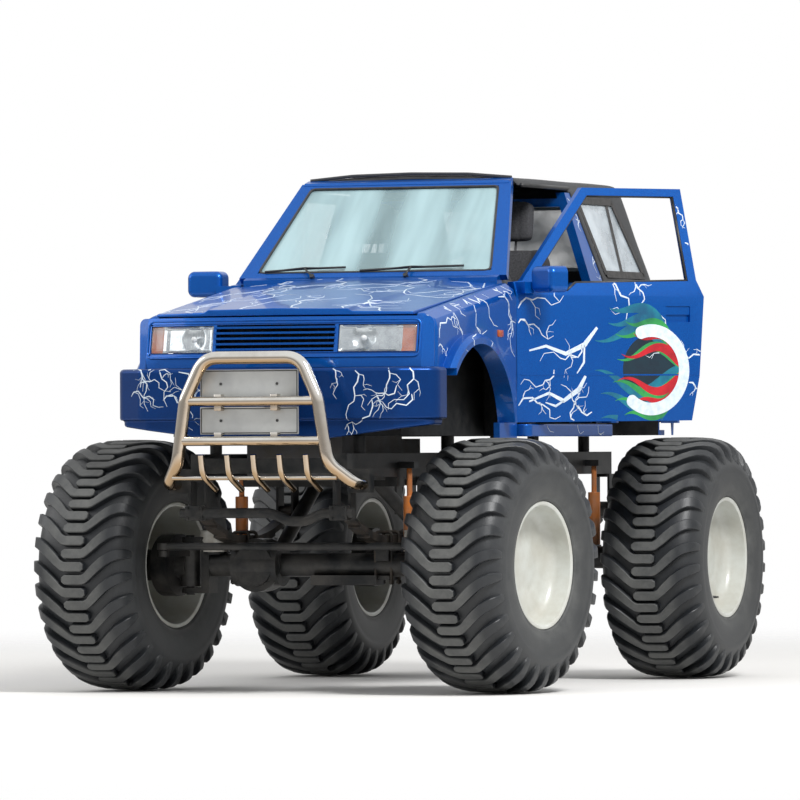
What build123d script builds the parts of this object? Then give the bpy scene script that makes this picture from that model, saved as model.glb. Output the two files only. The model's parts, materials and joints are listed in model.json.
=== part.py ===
from build123d import *
import os
from math import cos, degrees, radians, sin, sqrt

# A small open-topped off-road car on a raised ladder frame with four very wide tyres.
# Millimetres. While it is drawn, the front faces -Y, its left side is +X, +Z is up, the ground
# is z = 0, the front axle is at y = 0 and the middle of the car is x = 0.

# Wheels and axles
wheelbase = 2450.0
track = 1875.0
tyre_radius = 590.0
tyre_width = 510.0
lugs_per_side = 18
lug_height = 32.0
lug_width = 52.0
lug_slant = 30.0
tread_half = 205.0
shoulder_radius = 440.0
rim_width = 454.0
rim_bead_radius = 284.0
flange_radius = 297.0
rim_wall = 10.0
disc_offset = 95.0
disc_thickness = 14.0
kingpin_half = 637.0
steer_at_rest = -6.5
axle_tube_radius = 55.0
diff_offset = -280.0
diff_radius = 125.0
drum_radius = 146.0
drum_inner_half = 690.0
drum_outer_half = 775.0
spindle_radius = 40.0
hub_radius = 86.0
fit_clearance = 0.3
steering_arm = 250.0
tie_rod_height = 680.0
tie_rod_radius = 18.0
tie_rod_eye_radius = 30.0

# Frame and springs
rail_x = 360.0
rail_width = 60.0
rail_bottom = 1000.0
rail_top = 1110.0
rail_front = -560.0
rail_rear = wheelbase + 465
spring_width = 64.0
front_spring_half = 520.0
rear_spring_half = 430.0
spring_rise = 120.0
spring_seat = 660.0
leaf_thickness = 13.0
leaf_count = 4
cross_tube_radius = 23.0

# Body
wall = 32.0
skin_low = 735.0
skin_mid = 746.0
skin_shoulder = 741.0
skin_belt = 712.0
skin_roof = 575.0
sill_low = 1190.0
sill_top = 1244.0
mid_height = 1470.0
belt_height = 1930.0
shoulder_height = belt_height - 80
window_height = 446.0
roof_edge_height = belt_height + window_height
roof_height = roof_edge_height + 76
hinge_x = 750.0
door_front = 690.0
door_rear = 1773.0
door_low = 1252.0
door_open = 35.0
quarter_rear = wheelbase + 420
arch_y = 90.0
arch_z = 1190.0
arch_radius = 425.0
rear_arch_y = wheelbase - 130
flare_width = 48.0
flare_out = 805.0
gap = 6.0
nose_radius = 1975.0
nose_front = -505.0
hood_front_z = 1754.0
hood_rear_z = belt_height - 22
hood_half_front = 640.0
hood_half_rear = 655.0
hood_rear = 676.0

# The whole car is handed in about the middle of its own floor space, open door included.
door_reach = hinge_x + (door_rear - door_front) * sin(radians(door_open))
steered = radians(abs(steer_at_rest))
tyre_reach = (
    kingpin_half
    + (track / 2 - kingpin_half + tyre_width / 2) * cos(steered)
    + shoulder_radius * sin(steered)
)
bar_front = -805.0
origin_x = (door_reach - tyre_reach) / 2
origin_y = (bar_front + wheelbase + tyre_radius) / 2
to_origin = Location((-origin_x, -origin_y, 0))

os.makedirs("parts", exist_ok=True)


def hand_in(piece, name, swing=None):
    """Labels a finished piece, sets it at its place at rest and writes it."""
    placed = piece.part if swing is None else swing * piece.part
    placed = to_origin * placed
    placed.label = name
    export_step(placed, f"parts/{name}.step")


def turned_about(x, y, angle):
    """The place of a piece that has turned by an angle about an upright line at x, y."""
    return Location((x, y, 0)) * Location((0, 0, 0), (0, 0, angle)) * Location((-x, -y, 0))


def flat_faced(rings):
    """A solid with flat faces through rings of points, the last ring joined to the first."""
    faces = []
    for near, far in zip(rings, rings[1:] + rings[:1]):
        for count in range(len(near)):
            corners = [near[count - 1], near[count], far[count], far[count - 1]]
            faces.append(Face(Wire.make_polygon(corners, close=True)))
    return Solid(Shell(faces))


def turned_ring(section, flats):
    """A ring about the X axis with a number of flats, from the x and radius of its section."""
    angles = [radians(360 / flats * count) for count in range(flats)]
    return flat_faced([[Vector(x, r * cos(a), r * sin(a)) for a in angles] for x, r in section])


def tube(route, radius, sides=10):
    """A bar with flat sides along a route of points, mitred where it bends."""
    points = [Vector(*point) for point in route]
    along = [(b - a).normalized() for a, b in zip(points, points[1:])]
    first = Plane(origin=points[0], z_dir=along[0])
    turns = [radians(360 / sides * count) for count in range(sides)]
    rings = [[first.from_local_coords(Vector(radius * cos(a), radius * sin(a), 0)) for a in turns]]
    for point, way, after in zip(points[1:], along, along[1:] + along[-1:]):
        mitre = (way + after).normalized()
        rings.append([corner + way * ((point - corner).dot(mitre) / way.dot(mitre)) for corner in rings[-1]])
    faces = [Face(Wire.make_polygon(ring, close=True)) for ring in (rings[0], rings[-1])]
    for near, far in zip(rings, rings[1:]):
        for count in range(sides):
            corners = [near[count - 1], near[count], far[count], far[count - 1]]
            faces.append(Face(Wire.make_polygon(corners, close=True)))
    return Solid(Shell(faces))


def bent(corners, set_back):
    """A route with every corner replaced by three points on its bend."""
    points = [Vector(*corner) for corner in corners]
    route = points[:1]
    for before, corner, after in zip(points, points[1:], points[2:]):
        start = corner + (before - corner).normalized() * set_back
        end = corner + (after - corner).normalized() * set_back
        route += [start, (start + corner * 2 + end) / 4, end]
    return route + points[-1:]


# Tyre: a flat-sided carcass and slanted lugs, alternating left and right.
lug_pitch = 360 / lugs_per_side
carcass_radius = tyre_radius - lug_height
tyre_half = tyre_width / 2
bead_half = 215.0
bead_lip = 16.0
bore_corner = (rim_bead_radius + fit_clearance) / cos(radians(lug_pitch / 2))
tyre_half_section = [  # x and radius, from the tread to the bead
    (tread_half, carcass_radius),
    (tyre_half, shoulder_radius),
    (tyre_half, shoulder_radius - 12),
    (bead_half, rim_bead_radius + bead_lip),
    (bead_half, bore_corner),
]
tyre_section = tyre_half_section + [(-x, r) for x, r in reversed(tyre_half_section)]
carcass = turned_ring(tyre_section, lugs_per_side)

slant = radians(lug_slant)
lug_run = tyre_half / cos(slant)
lug_middle = lug_run * sin(slant) / 2
lug_top = sqrt(tyre_radius**2 - (lug_middle + lug_width / 2) ** 2)
lug_roots = []
for side in (1, -1):
    along = Vector(side * cos(slant), sin(slant), 0)
    lug_plane = Plane(
        origin=(-side * lug_width / 4, -lug_middle, 0),
        x_dir=along,
        z_dir=along.cross(Vector(0, 0, 1)),
    )
    with BuildPart() as lug:
        with BuildSketch(lug_plane):
            with BuildLine():
                Polyline(
                    (0, carcass_radius - 25),
                    (0, lug_top),
                    (lug_run * 0.8, lug_top),
                    (lug_run * 1.01, shoulder_radius + 1),
                    (lug_run * 0.65, carcass_radius - 25),
                    close=True,
                )
            make_face()
        extrude(amount=lug_width / 2, both=True)
    lug_roots.append((lug.part, 0 if side == 1 else lug_pitch / 2))

with BuildPart() as tyre:
    add(carcass)
    add(
        [
            root.rotate(Axis.X, start + lug_pitch * count)
            for root, start in lug_roots
            for count in range(lugs_per_side)
        ]
    )

# Rim: barrel with two flanges and a dished disc that carries the hub, outboard along +X.
rim_half = rim_width / 2
barrel_inner = rim_bead_radius - rim_wall
hub_depth = 70.0
disc_face = disc_offset + disc_thickness
dish_round = 24.0
with BuildPart() as rim:
    with BuildSketch(Plane.XZ):
        with BuildLine():
            Polyline(
                (rim_half, barrel_inner),
                (rim_half, flange_radius),
                (rim_half - 10, flange_radius),
                (rim_half - 10, rim_bead_radius),
                (-rim_half + 10, rim_bead_radius),
                (-rim_half + 10, flange_radius),
                (-rim_half, flange_radius),
                (-rim_half, barrel_inner),
                (disc_offset, barrel_inner),
                (disc_offset, hub_radius),
                (disc_offset - hub_depth, hub_radius),
                (disc_offset - hub_depth, spindle_radius + fit_clearance),
                (disc_offset, spindle_radius + fit_clearance),
                (disc_offset, 0),
                (disc_face, 0),
                (disc_face, barrel_inner - dish_round),
                (disc_face + dish_round, barrel_inner),
                close=True,
            )
        make_face()
    revolve(axis=Axis.X)

# Wheel places: outboard direction and, in front, the angle the wheels are turned to.
for name, side, y, steer in (
    ("front_left", 1, 0, steer_at_rest),
    ("front_right", -1, 0, steer_at_rest),
    ("rear_left", 1, wheelbase, 0),
    ("rear_right", -1, wheelbase, 0),
):
    centre = turned_about(side * kingpin_half, y, steer) * Location((side * track / 2, y, tyre_radius))
    hand_in(tyre, f"tyre_{name}", centre)
    hand_in(rim, f"rim_{name}", centre * Location((0, 0, 0), (0, 0, 0 if side == 1 else 180)))

damper_low = tyre_radius + 60
damper_top = 1040.0
damper_y = 120.0

# Frame: two box rails, cross members, spring hangers, engine and gearbox cradles, tow plate.
rail_mid = (rail_bottom + rail_top) / 2
rail_height = rail_top - rail_bottom
rail_inner = rail_x - rail_width / 2
rail_outer = rail_x + rail_width / 2
damper_x = rail_outer + 35
pack_top = spring_seat + 12 + leaf_count * leaf_thickness
eye_height = pack_top - leaf_thickness / 2 + spring_rise
eye_radius = 24.0
hanger_wall = 12.0
cradle_top = 985.0
springs = [(0.0, front_spring_half), (wheelbase, rear_spring_half)]
cross_members = [  # y, low z, high z, length along y
    (-520, 1020, 1090, 60),
    (wheelbase - 970, 1020, 1090, 60),
    (wheelbase - 450, 1020, 1090, 60),
    (rail_rear - 35, 1020, 1090, 60),
]
cradles = [(100, 90), (960, 90)]  # y, length along y
tow_y = rail_rear + 70
tow_plate = 20.0
tow_hole = 26.0
with BuildPart() as frame:
    for side in (1, -1):
        with Locations((side * rail_x, (rail_front + rail_rear) / 2, rail_mid)):
            Box(rail_width, rail_rear - rail_front, rail_height)
        with Locations((side * (rail_outer + 55), rail_front + 30, 985)):
            Box(110, 60, 110)
        for axle_y, spring_half in springs:
            for end in (-1, 1):
                for cheek in (-1, 1):
                    cheek_x = side * rail_x + cheek * (spring_width + hanger_wall) / 2
                    eye_y = axle_y + end * spring_half
                    with Locations((cheek_x, eye_y, (eye_height - 30 + rail_bottom) / 2)):
                        Box(hanger_wall, 70, rail_bottom - eye_height + 30)
                with Locations((side * rail_x, axle_y + end * spring_half, rail_bottom - 8)):
                    Box(spring_width + 2 * hanger_wall, 70, 16)
            with Locations((side * (rail_outer + 35), axle_y + damper_y, damper_top + 15)):
                Box(70, 60, 30)
    for y, low, high, length in cross_members:
        with Locations((0, y, (low + high) / 2)):
            Box(2 * rail_inner + 20, length, high - low)
    for y, length in cradles:
        with Locations((0, y, cradle_top - 15)):
            Box(2 * rail_outer, length, 30)
        for side in (1, -1):
            with Locations((side * rail_x, y, rail_bottom - 10)):
                Box(rail_width, length, 25)
    with Locations((0, (rail_rear + tow_y + 40) / 2, rail_mid)):
        Box(140, tow_y + 40 - rail_rear + 20, tow_plate)
    with Locations((0, tow_y, rail_mid)):
        Cylinder(tow_hole / 2, 2 * tow_plate, mode=Mode.SUBTRACT)
    for side in (1, -1):
        for y in (-333, 760, 1400, wheelbase - 550, wheelbase + 150):
            with Locations((side * rail_x, y, (rail_top + sill_low) / 2)):
                Cylinder(28, sill_low - rail_top)
hand_in(frame, "frame")

# Cross tube between the front spring eyes, dipped on the left, in two clamps.
tube_y = -front_spring_half - 60
tube_z = 838.0
tube_dip = [(-430, tube_z), (20, tube_z), (110, 800), (190, 800), (280, tube_z), (430, tube_z)]  # x, z
with BuildPart() as cross_tube:
    add(tube(bent([(x, tube_y, z) for x, z in tube_dip], 25), cross_tube_radius, 12))
    for side in (1, -1):
        with Locations((side * rail_x, tube_y, tube_z)):
            Box(spring_width + 2 * hanger_wall, 50, 70)
hand_in(cross_tube, "cross_tube")

# Leaf springs: stacked arcs with a clamp block over the axle and a rolled eye at each end.
with BuildPart() as leaf_springs:
    for side in (1, -1):
        for axle_y, spring_half in springs:
            arc_radius = (spring_half**2 + spring_rise**2) / (2 * spring_rise)
            arc_centre = (axle_y, pack_top + arc_radius)
            with BuildSketch(Plane.YZ.offset(side * rail_x - spring_width / 2)):
                for leaf in range(leaf_count):
                    reach = spring_half * (1 - 0.22 * leaf)
                    top = arc_radius + leaf_thickness * leaf
                    half_turn = degrees(reach / arc_radius)
                    with BuildLine():
                        low = CenterArc(arc_centre, top + leaf_thickness, 270 - half_turn, 2 * half_turn)
                        high = CenterArc(arc_centre, top, 270 - half_turn, 2 * half_turn)
                        Line(low @ 0, high @ 0)
                        Line(low @ 1, high @ 1)
                    make_face()
                for end in (-1, 1):
                    with Locations((axle_y + end * spring_half, eye_height)):
                        Circle(eye_radius)
                with Locations((axle_y, spring_seat + 35)):
                    Rectangle(130, 70)
            extrude(amount=spring_width)
hand_in(leaf_springs, "leaf_springs")

# Axles: tube, offset differential with a pinion nose, spring seats, light-coloured bump pads.
shaft_low = {0: Vector(diff_offset, 190, 625), wheelbase: Vector(diff_offset, wheelbase - 190, 625)}
shaft_high = {0: Vector(diff_offset, 800, 1040), wheelbase: Vector(diff_offset, 1290, 1040)}
shaft_radius = 34.0
fork_half = 106.0
fork_thickness = 26.0
fork_inner = 525.0
fork_radius = 40.0
knuckle_half = 100.0
wheel_middle = track / 2
spindle_end = wheel_middle + disc_offset - 5
housing_end = wheel_middle + disc_offset - hub_depth - 6


def across(x, y, z):
    """A place with its axis turned to lie across the car."""
    return Location((x, y, z), (0, 90, 0))


def shaft_plane(axle_y, distance):
    """A plane across the propeller shaft, at a distance up from its lower flange."""
    run = (shaft_high[axle_y] - shaft_low[axle_y]).normalized()
    return Plane(origin=shaft_low[axle_y] + run * distance, x_dir=(1, 0, 0), z_dir=run)


for name, axle_y in (("front", 0), ("rear", wheelbase)):
    half = fork_inner + 20 if axle_y == 0 else drum_inner_half + 10
    with BuildPart() as axle:
        with Locations(across(0, axle_y, tyre_radius)):
            Cylinder(axle_tube_radius, 2 * half)
        for radius, length in ((diff_radius, 130), (diff_radius - 28, 190)):
            with Locations(Location((diff_offset, axle_y, tyre_radius), (90, 0, 0))):
                Cylinder(radius, length)
        with Locations(across(diff_offset, axle_y, tyre_radius)):
            Cylinder(diff_radius - 25, 230)
        with BuildSketch(shaft_plane(axle_y, 0)):
            Circle(56)
        extrude(amount=-160)
        for side in (1, -1):
            seat_bottom = tyre_radius + 20
            with Locations((side * rail_x, axle_y, (seat_bottom + spring_seat) / 2)):
                Box(spring_width, 130, spring_seat - seat_bottom)
            with Locations((side * rail_x, axle_y, tyre_radius - axle_tube_radius - 4)):
                Box(spring_width, 110, 20)
            with Locations((side * damper_x, axle_y + 80, damper_low - 20)):
                Box(56, 130, 40)
            if axle_y == 0:
                with Locations((side * (fork_inner - 10), axle_y, 695)):
                    Cylinder(62, 110)
                with Locations((side * (fork_inner + 15), axle_y, tyre_radius)):
                    Box(40, 110, 2 * (fork_half + fork_thickness))
                for up in (1, -1):
                    arm_z = tyre_radius + up * (fork_half + fork_thickness / 2)
                    with Locations((side * (fork_inner + kingpin_half) / 2, 0, arm_z)):
                        Box(kingpin_half - fork_inner, 2 * fork_radius, fork_thickness)
                    with Locations((side * kingpin_half, 0, arm_z)):
                        Cylinder(fork_radius, fork_thickness)
                with Locations((side * kingpin_half, 0, tyre_radius)):
                    Cylinder(20 + fit_clearance, 400, mode=Mode.SUBTRACT)
            else:
                middle = (drum_inner_half + drum_outer_half) / 2
                with Locations(across(side * middle, axle_y, tyre_radius)):
                    Cylinder(drum_radius, drum_outer_half - drum_inner_half)
                with Locations(across(side * (drum_outer_half + housing_end) / 2, axle_y, tyre_radius)):
                    Cylinder(74, housing_end - drum_outer_half)
                with Locations(across(side * (drum_outer_half + spindle_end) / 2, axle_y, tyre_radius)):
                    Cylinder(spindle_radius, spindle_end - drum_outer_half)
        for side in (1, -1):
            with Locations((side * rail_x, axle_y, spring_seat + 100)):
                Box(spring_width + 20, 300, 200, mode=Mode.SUBTRACT)
        if axle_y == 0:
            with Locations((170, -30, 520)):
                Box(330, 90, 46)
    hand_in(axle, f"{name}_axle")

# Knuckles: a post on the kingpin, steering arm with its pin, brake drum and spindle.
arm_top = tie_rod_height - 20
for name, side in (("left", 1), ("right", -1)):
    with BuildPart() as knuckle:
        with Locations((side * kingpin_half, 0, tyre_radius)):
            Cylinder(50, 2 * knuckle_half)
            Cylinder(20, 2 * (fork_half + fork_thickness) + 16)
        with Locations(across(side * (kingpin_half + drum_inner_half + 10) / 2, 0, tyre_radius)):
            Cylinder(66, drum_inner_half + 10 - kingpin_half)
        with Locations(across(side * (drum_inner_half + drum_outer_half) / 2, 0, tyre_radius)):
            Cylinder(drum_radius, drum_outer_half - drum_inner_half)
        with Locations(across(side * (drum_outer_half + housing_end) / 2, 0, tyre_radius)):
            Cylinder(74, housing_end - drum_outer_half)
        with Locations(across(side * (drum_outer_half + spindle_end) / 2, 0, tyre_radius)):
            Cylinder(spindle_radius, spindle_end - drum_outer_half)
        with Locations((side * kingpin_half, -steering_arm / 2, arm_top - 14)):
            Box(44, steering_arm, 28)
        with Locations((side * kingpin_half, -steering_arm, arm_top - 14)):
            Cylinder(24, 28)
        with Locations((side * kingpin_half, -steering_arm, arm_top + 18)):
            Cylinder(12, 36)
    hand_in(knuckle, f"knuckle_{name}", turned_about(side * kingpin_half, 0, steer_at_rest))

# Tie rod: a straight tube between two eyes that sit on the steering arms.
pin_shift = Location((steering_arm * sin(radians(steer_at_rest)), 0, 0))
with BuildPart() as tie_rod:
    rod_y = -steering_arm * cos(radians(steer_at_rest))
    with Locations(across(0, rod_y, tie_rod_height)):
        Cylinder(tie_rod_radius, 2 * kingpin_half)
    for side in (1, -1):
        with Locations((side * kingpin_half, rod_y, tie_rod_height)):
            Cylinder(tie_rod_eye_radius, 30)
    for side in (1, -1):
        with Locations((side * kingpin_half, rod_y, tie_rod_height)):
            Cylinder(12 + fit_clearance, 60, mode=Mode.SUBTRACT)
hand_in(tie_rod, "tie_rod", pin_shift)

# Dampers: upright, between the axles' outer brackets and the frame's.
with BuildPart() as dampers:
    for axle_y in (0, wheelbase):
        for side in (1, -1):
            with Locations((side * damper_x, axle_y + damper_y, damper_low + 130)):
                Cylinder(30, 260)
            with Locations((side * damper_x, axle_y + damper_y, (damper_low + damper_top) / 2)):
                Cylinder(13, damper_top - damper_low)
hand_in(dampers, "dampers")

# Engine, gearbox and transfer box as plain closed blocks on the two cradles.
with BuildPart() as engine:
    with Locations((0, 120, (cradle_top + 1600) / 2)):
        Box(480, 740, 1600 - cradle_top)
    with Locations((0, 720, (cradle_top + 1178) / 2)):
        Box(280, 500, 1178 - cradle_top)
    with Locations((-140, 1045, (cradle_top + 1178) / 2)):
        Box(370, 310, 1178 - cradle_top)
    for axle_y in (0, wheelbase):
        length = (shaft_high[axle_y] - shaft_low[axle_y]).length
        with BuildSketch(shaft_plane(axle_y, length)):
            Circle(50)
        extrude(amount=120)
hand_in(engine, "engine")

# Propeller shafts: tubes from each differential's nose to the transfer box.
with BuildPart() as propshafts:
    for axle_y in (0, wheelbase):
        length = (shaft_high[axle_y] - shaft_low[axle_y]).length
        for start, end, radius in ((0, 40, 50), (40, length - 40, shaft_radius), (length - 40, length, 50)):
            with BuildSketch(shaft_plane(axle_y, start)):
                Circle(radius)
            extrude(amount=end - start)
hand_in(propshafts, "propshafts")

# Body sides: every side panel is cut from one leaning band, so that they all line up.
side_line = [  # half width, height
    (skin_low, sill_low),
    (skin_mid, mid_height),
    (skin_shoulder, shoulder_height),
    (skin_belt, belt_height),
    (skin_roof, roof_edge_height),
]
belt_inner = skin_belt - wall


def side_band(side, inner_half, depth):
    """A closed line across one body side, upright inside below the belt and thin above it."""
    inner = [
        (skin_roof - depth, roof_edge_height),
        (skin_belt - depth, belt_height),
        (inner_half, belt_height - 30),
        (inner_half, sill_low),
    ]
    return [(side * x, z) for x, z in side_line + inner]


def slab(points, front, rear):
    """A solid whose section across the car is a closed line, from one y to another."""
    with BuildPart() as piece:
        with BuildSketch(Plane.XZ.offset(-rear)):
            Polygon(*points, align=None)
        extrude(amount=rear - front)
    return piece.part


def side_cut(points, low=300, high=900, side=1):
    """A solid whose outline seen from the side is a closed line."""
    with BuildPart() as piece:
        with BuildSketch(Plane.YZ.offset(low if side == 1 else -high)):
            Polygon(*points, align=None)
        extrude(amount=high - low)
    return piece.part


flare_edge = 20.0


def flare(side, arch_centre_y):
    """The lip round a wheel arch, a full ring with its outer edge cut back."""
    with BuildPart() as ring:
        with BuildSketch(Plane.YZ.offset(side * (skin_mid - 30))):
            with Locations((arch_centre_y, arch_z)):
                Circle(arch_radius + flare_width)
                Circle(arch_radius, mode=Mode.SUBTRACT)
        extrude(amount=side * (flare_out - skin_mid + 30))
        outside = ring.edges().filter_by(GeomType.CIRCLE).group_by(Axis.X)[-1 if side == 1 else 0]
        chamfer(outside.sort_by(SortBy.RADIUS)[-1], flare_edge)
    return ring.part


# Wings: an upright skin and a shelf beside the hood, cut by the wheel arch under its flare.
wing_rear = door_front - gap
wing_front = -333.0
arch_low = 1250.0
flare_front_low = 1500.0
for name, side in (("left", 1), ("right", -1)):
    with BuildPart() as wing:
        for y, top, shelf in (
            (wing_front, hood_front_z, hood_half_front + gap),
            (wing_rear, hood_rear_z, hood_half_rear + gap),
        ):
            outline = [
                (skin_mid, sill_low),
                (skin_mid, top - 70),
                (skin_mid - 14, top - 30),
                (shelf + 30, top),
                (shelf, top),
                (shelf, top - 26),
                (shelf + 25, top - 26),
                (skin_mid - wall, top - 60),
                (skin_mid - wall, sill_low),
            ]
            with BuildSketch(Plane.XZ.offset(-y)):
                Polygon(*[(side * x, z) for x, z in outline], align=None)
        loft(ruled=True)
        with BuildSketch(Plane.YZ.offset(side * (skin_mid - wall - 5) - (100 if side == -1 else 0))):
            with Locations((arch_y, arch_z)):
                Circle(arch_radius)
        extrude(amount=100, mode=Mode.SUBTRACT)
        add(flare(side, arch_y))
        with Locations((side * skin_mid, arch_y, arch_low - 500)):
            Box(300, 1200, 1000, mode=Mode.SUBTRACT)
        with Locations((side * skin_mid, wing_front, flare_front_low - 500)):
            Box(300, 200, 1000, mode=Mode.SUBTRACT)
        with Locations((side * skin_mid, 600, (sill_low + arch_low) / 2)):
            with Locations((-side * wall / 2, -28, -10)):
                Box(wall, 2 * (wing_rear - 600 + 28), arch_low - sill_low + 20)
    hand_in(wing, f"wing_{name}")

# Nose panel: a turned band with two lamp openings and a slatted grille.
nose_axis_y = nose_front + nose_radius
nose_low = 1508.0
nose_top = hood_front_z - 12
nose_rear = wing_front - gap
lamp_low = 1577.0
lamp_top = 1704.0
lamp_inner = 312.0
lamp_outer = 666.0
grille_half = 296.0
grille_low = 1580.0
grille_top = 1706.0
slat_count = 5


def turned_nose(outline):
    """A solid of revolution about the nose's upright axis, from y and z in the middle plane."""
    with BuildPart() as piece:
        with BuildSketch(Plane.YZ):
            Polygon(*outline, align=None)
        revolve(axis=Axis((0, nose_axis_y, 0), (0, 0, 1)))
    return piece.part


nose_skin = [
    (nose_front - 8, nose_low),
    (nose_front - 8, 1560),
    (nose_front + 25, nose_top),
    (nose_front + 70, nose_top),
    (nose_front + 40, nose_low),
]
slat_pitch = (grille_top - grille_low) / slat_count
seam_half = 680.0
seam_low = 1569.0
seam_top = 1713.0
seam_width = 7.0
seam_cut = [(nose_front - 60, nose_low)] + [(y + seam_width, z) for y, z in nose_skin[:3]] + [(nose_front - 60, nose_top)]
with BuildPart() as seam:
    add(turned_nose(seam_cut))
    with BuildSketch(Plane.XZ):
        with Locations((0, (seam_low + seam_top) / 2)):
            Rectangle(2 * seam_half, seam_top - seam_low)
            Rectangle(2 * (seam_half - seam_width), seam_top - seam_low - 2 * seam_width, mode=Mode.SUBTRACT)
    extrude(amount=nose_radius, mode=Mode.INTERSECT)
with BuildPart() as nose_panel:
    add(turned_nose(nose_skin))
    add(seam.part, mode=Mode.SUBTRACT)
    with Locations((0, (nose_front - 100 + nose_rear) / 2, 1600)):
        Box(2 * 690, nose_rear - nose_front + 100, 500, mode=Mode.INTERSECT)
    for side in (1, -1):
        with Locations((side * (lamp_inner + lamp_outer) / 2, nose_front, (lamp_low + lamp_top) / 2)):
            Box(lamp_outer - lamp_inner, 400, lamp_top - lamp_low, mode=Mode.SUBTRACT)
    with Locations((0, nose_front, (grille_low + grille_top) / 2)):
        Box(2 * grille_half, 200, grille_top - grille_low, mode=Mode.SUBTRACT)
    for count in range(slat_count):
        z = grille_low + slat_pitch * (count + 0.5)
        with Locations((0, nose_front + 33, z)):
            Box(2 * grille_half + 10, 22, 10)
    for side in (1, -1):
        with BuildSketch(Plane.XY.offset(nose_low)):
            corner = [(689, -392), (738, -350), (738, nose_rear), (689, nose_rear)]
            Polygon(*[(side * x, y) for x, y in corner], align=None)
        extrude(amount=nose_top - nose_low)
hand_in(nose_panel, "nose_panel")

# Headlamps: curved lenses that fill the nose panel's side openings.
with BuildPart() as headlamps:
    add(turned_nose([(y, z) for y, z in nose_skin[:3]] + [(nose_front + 64, nose_top), (nose_front + 60, nose_low)]))
    with Locations((0, -450, (lamp_low + lamp_top) / 2)):
        Box(2 * lamp_outer, 300, lamp_top - lamp_low, mode=Mode.INTERSECT)
        Box(2 * lamp_inner, 300, lamp_top - lamp_low, mode=Mode.SUBTRACT)
hand_in(headlamps, "headlamps")

# Bumpers: a deep band bent round the corners, over a lower edge that is tucked in and rises outward.
bumper_half = 800.0
bumper_wall = 50.0
bumper_bend = 90.0
bumper_round = 20.0
bumper_tuck = 24.0
bumper_rise = 66.0
bumper_pad = -505.0
rear_bumper_pad = quarter_rear - 4
bumpers = [  # name, direction, end of the sides, middle of the face, corner's set-back, low z, ledge z, high z, bracket y, z
    ("front", 1, -340, -600, 130, 1180, 1268, 1506, bumper_pad, 1340),
    ("rear", -1, -(quarter_rear - 65), -(quarter_rear + 95), 60, 1210, 1268, 1410, rear_bumper_pad, 1310),
]


def bumper_block(turn, end, face, set_back, inset, low, high):
    """A closed block with a bumper's plan, moved in from its outer skin by an inset."""
    half = bumper_half - inset
    outline = [(half, end), (half, face + set_back), (half - 160, face + 30 + inset), (0, face + inset)]
    outline += [(-x, y) for x, y in reversed(outline[:-1])]
    with BuildPart() as block:
        with BuildSketch(Plane.XY.offset(low)):
            Polygon(*[(x, turn * y) for x, y in outline], align=None)
        extrude(amount=high - low)
        upright = block.edges().filter_by(Axis.Z)
        fillet([edge for edge in upright if abs(edge.center().Y - turn * end) > 1], bumper_bend - inset)
    return block.part


for name, turn, end, face, set_back, low, ledge, high, pad, pad_z in bumpers:
    lower = bumper_block(turn, end, face, set_back, bumper_tuck, low, ledge)
    inner = bumper_block(turn, end + 10, face, set_back, bumper_wall, low, high)
    upper = bumper_block(turn, end, face, set_back, 0, ledge, high)
    with BuildPart() as bumper:
        add(upper)
        top_edges = bumper.edges().group_by(Axis.Z)[-1]
        fillet([edge for edge in top_edges if abs(edge.center().Y - turn * end) > 1], bumper_round)
        add(lower)
        add(inner, mode=Mode.SUBTRACT)
        for side in (1, -1):
            rise = [(side * 300, low), (side * 820, low + bumper_rise), (side * 820, low - 10), (side * 300, low - 10)]
            with BuildSketch(Plane.XZ):
                Polygon(*rise, align=None)
            extrude(amount=turn * 4000, mode=Mode.SUBTRACT)
        with Locations((450, pad - turn * 15, pad_z), (-450, pad - turn * 15, pad_z)):
            Box(80, 30, 80)
    hand_in(bumper, f"{name}_bumper")

# Hood: a crowned panel with a raised middle, its front trimmed to the nose's curve.
hood_thickness = 36.0
hood_crown = 24.0
hood_raise = 12.0
hood_ends = [  # y, half width, height of its edge, half width of the raised middle
    (-480, hood_half_front, hood_front_z - 8, 345),
    (hood_rear, hood_half_rear, hood_rear_z, 405),
]
with BuildPart() as hood:
    for y, half, edge, raised in hood_ends:
        shoulder = edge + hood_crown * 0.62
        line = [
            (-half, edge),
            (-raised - 22, shoulder),
            (-raised, shoulder + hood_raise),
            (0, edge + hood_crown + hood_raise),
            (raised, shoulder + hood_raise),
            (raised + 22, shoulder),
            (half, edge),
        ]
        with BuildSketch(Plane.XZ.offset(-y)):
            Polygon(*(line + [(x, z - hood_thickness) for x, z in reversed(line)]), align=None)
    loft(ruled=True)
    with Locations((0, nose_axis_y, 1800)):
        Cylinder(nose_axis_y - nose_front - 28, 600, mode=Mode.INTERSECT)
    with Locations((0, 0, nose_top + gap + 500)):
        Box(3000, 3000, 1000, mode=Mode.INTERSECT)
hand_in(hood, "hood")

# Windscreen frame: a raked surround with its two pillars, on the cowl behind the hood.
screen_base = Vector(0, 727, belt_height + 33)
screen_rake = 45.8
screen_length = (roof_edge_height + 31.5 - screen_base.Z) / sin(radians(screen_rake))
screen_depth = 35.0
screen_half_base = 685.0
screen_half_top = 541.0
glass_half_base = 600.0
glass_half_top = 485.0
glass_low = 12.0
glass_high = screen_length - 30
screen_up = Vector(0, cos(radians(screen_rake)), sin(radians(screen_rake)))
screen_plane = Plane(origin=screen_base, x_dir=(1, 0, 0), z_dir=Vector(1, 0, 0).cross(screen_up))
glass_line = [
    (-glass_half_base, glass_low),
    (-glass_half_top, glass_high),
    (glass_half_top, glass_high),
    (glass_half_base, glass_low),
]
cowl_half = hood_half_rear - 5
cowl_low = belt_height - 50
screen_top = screen_base.Y + screen_length * screen_up.Y
header_low = roof_edge_height + 4
header_rear = screen_top + 53
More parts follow.
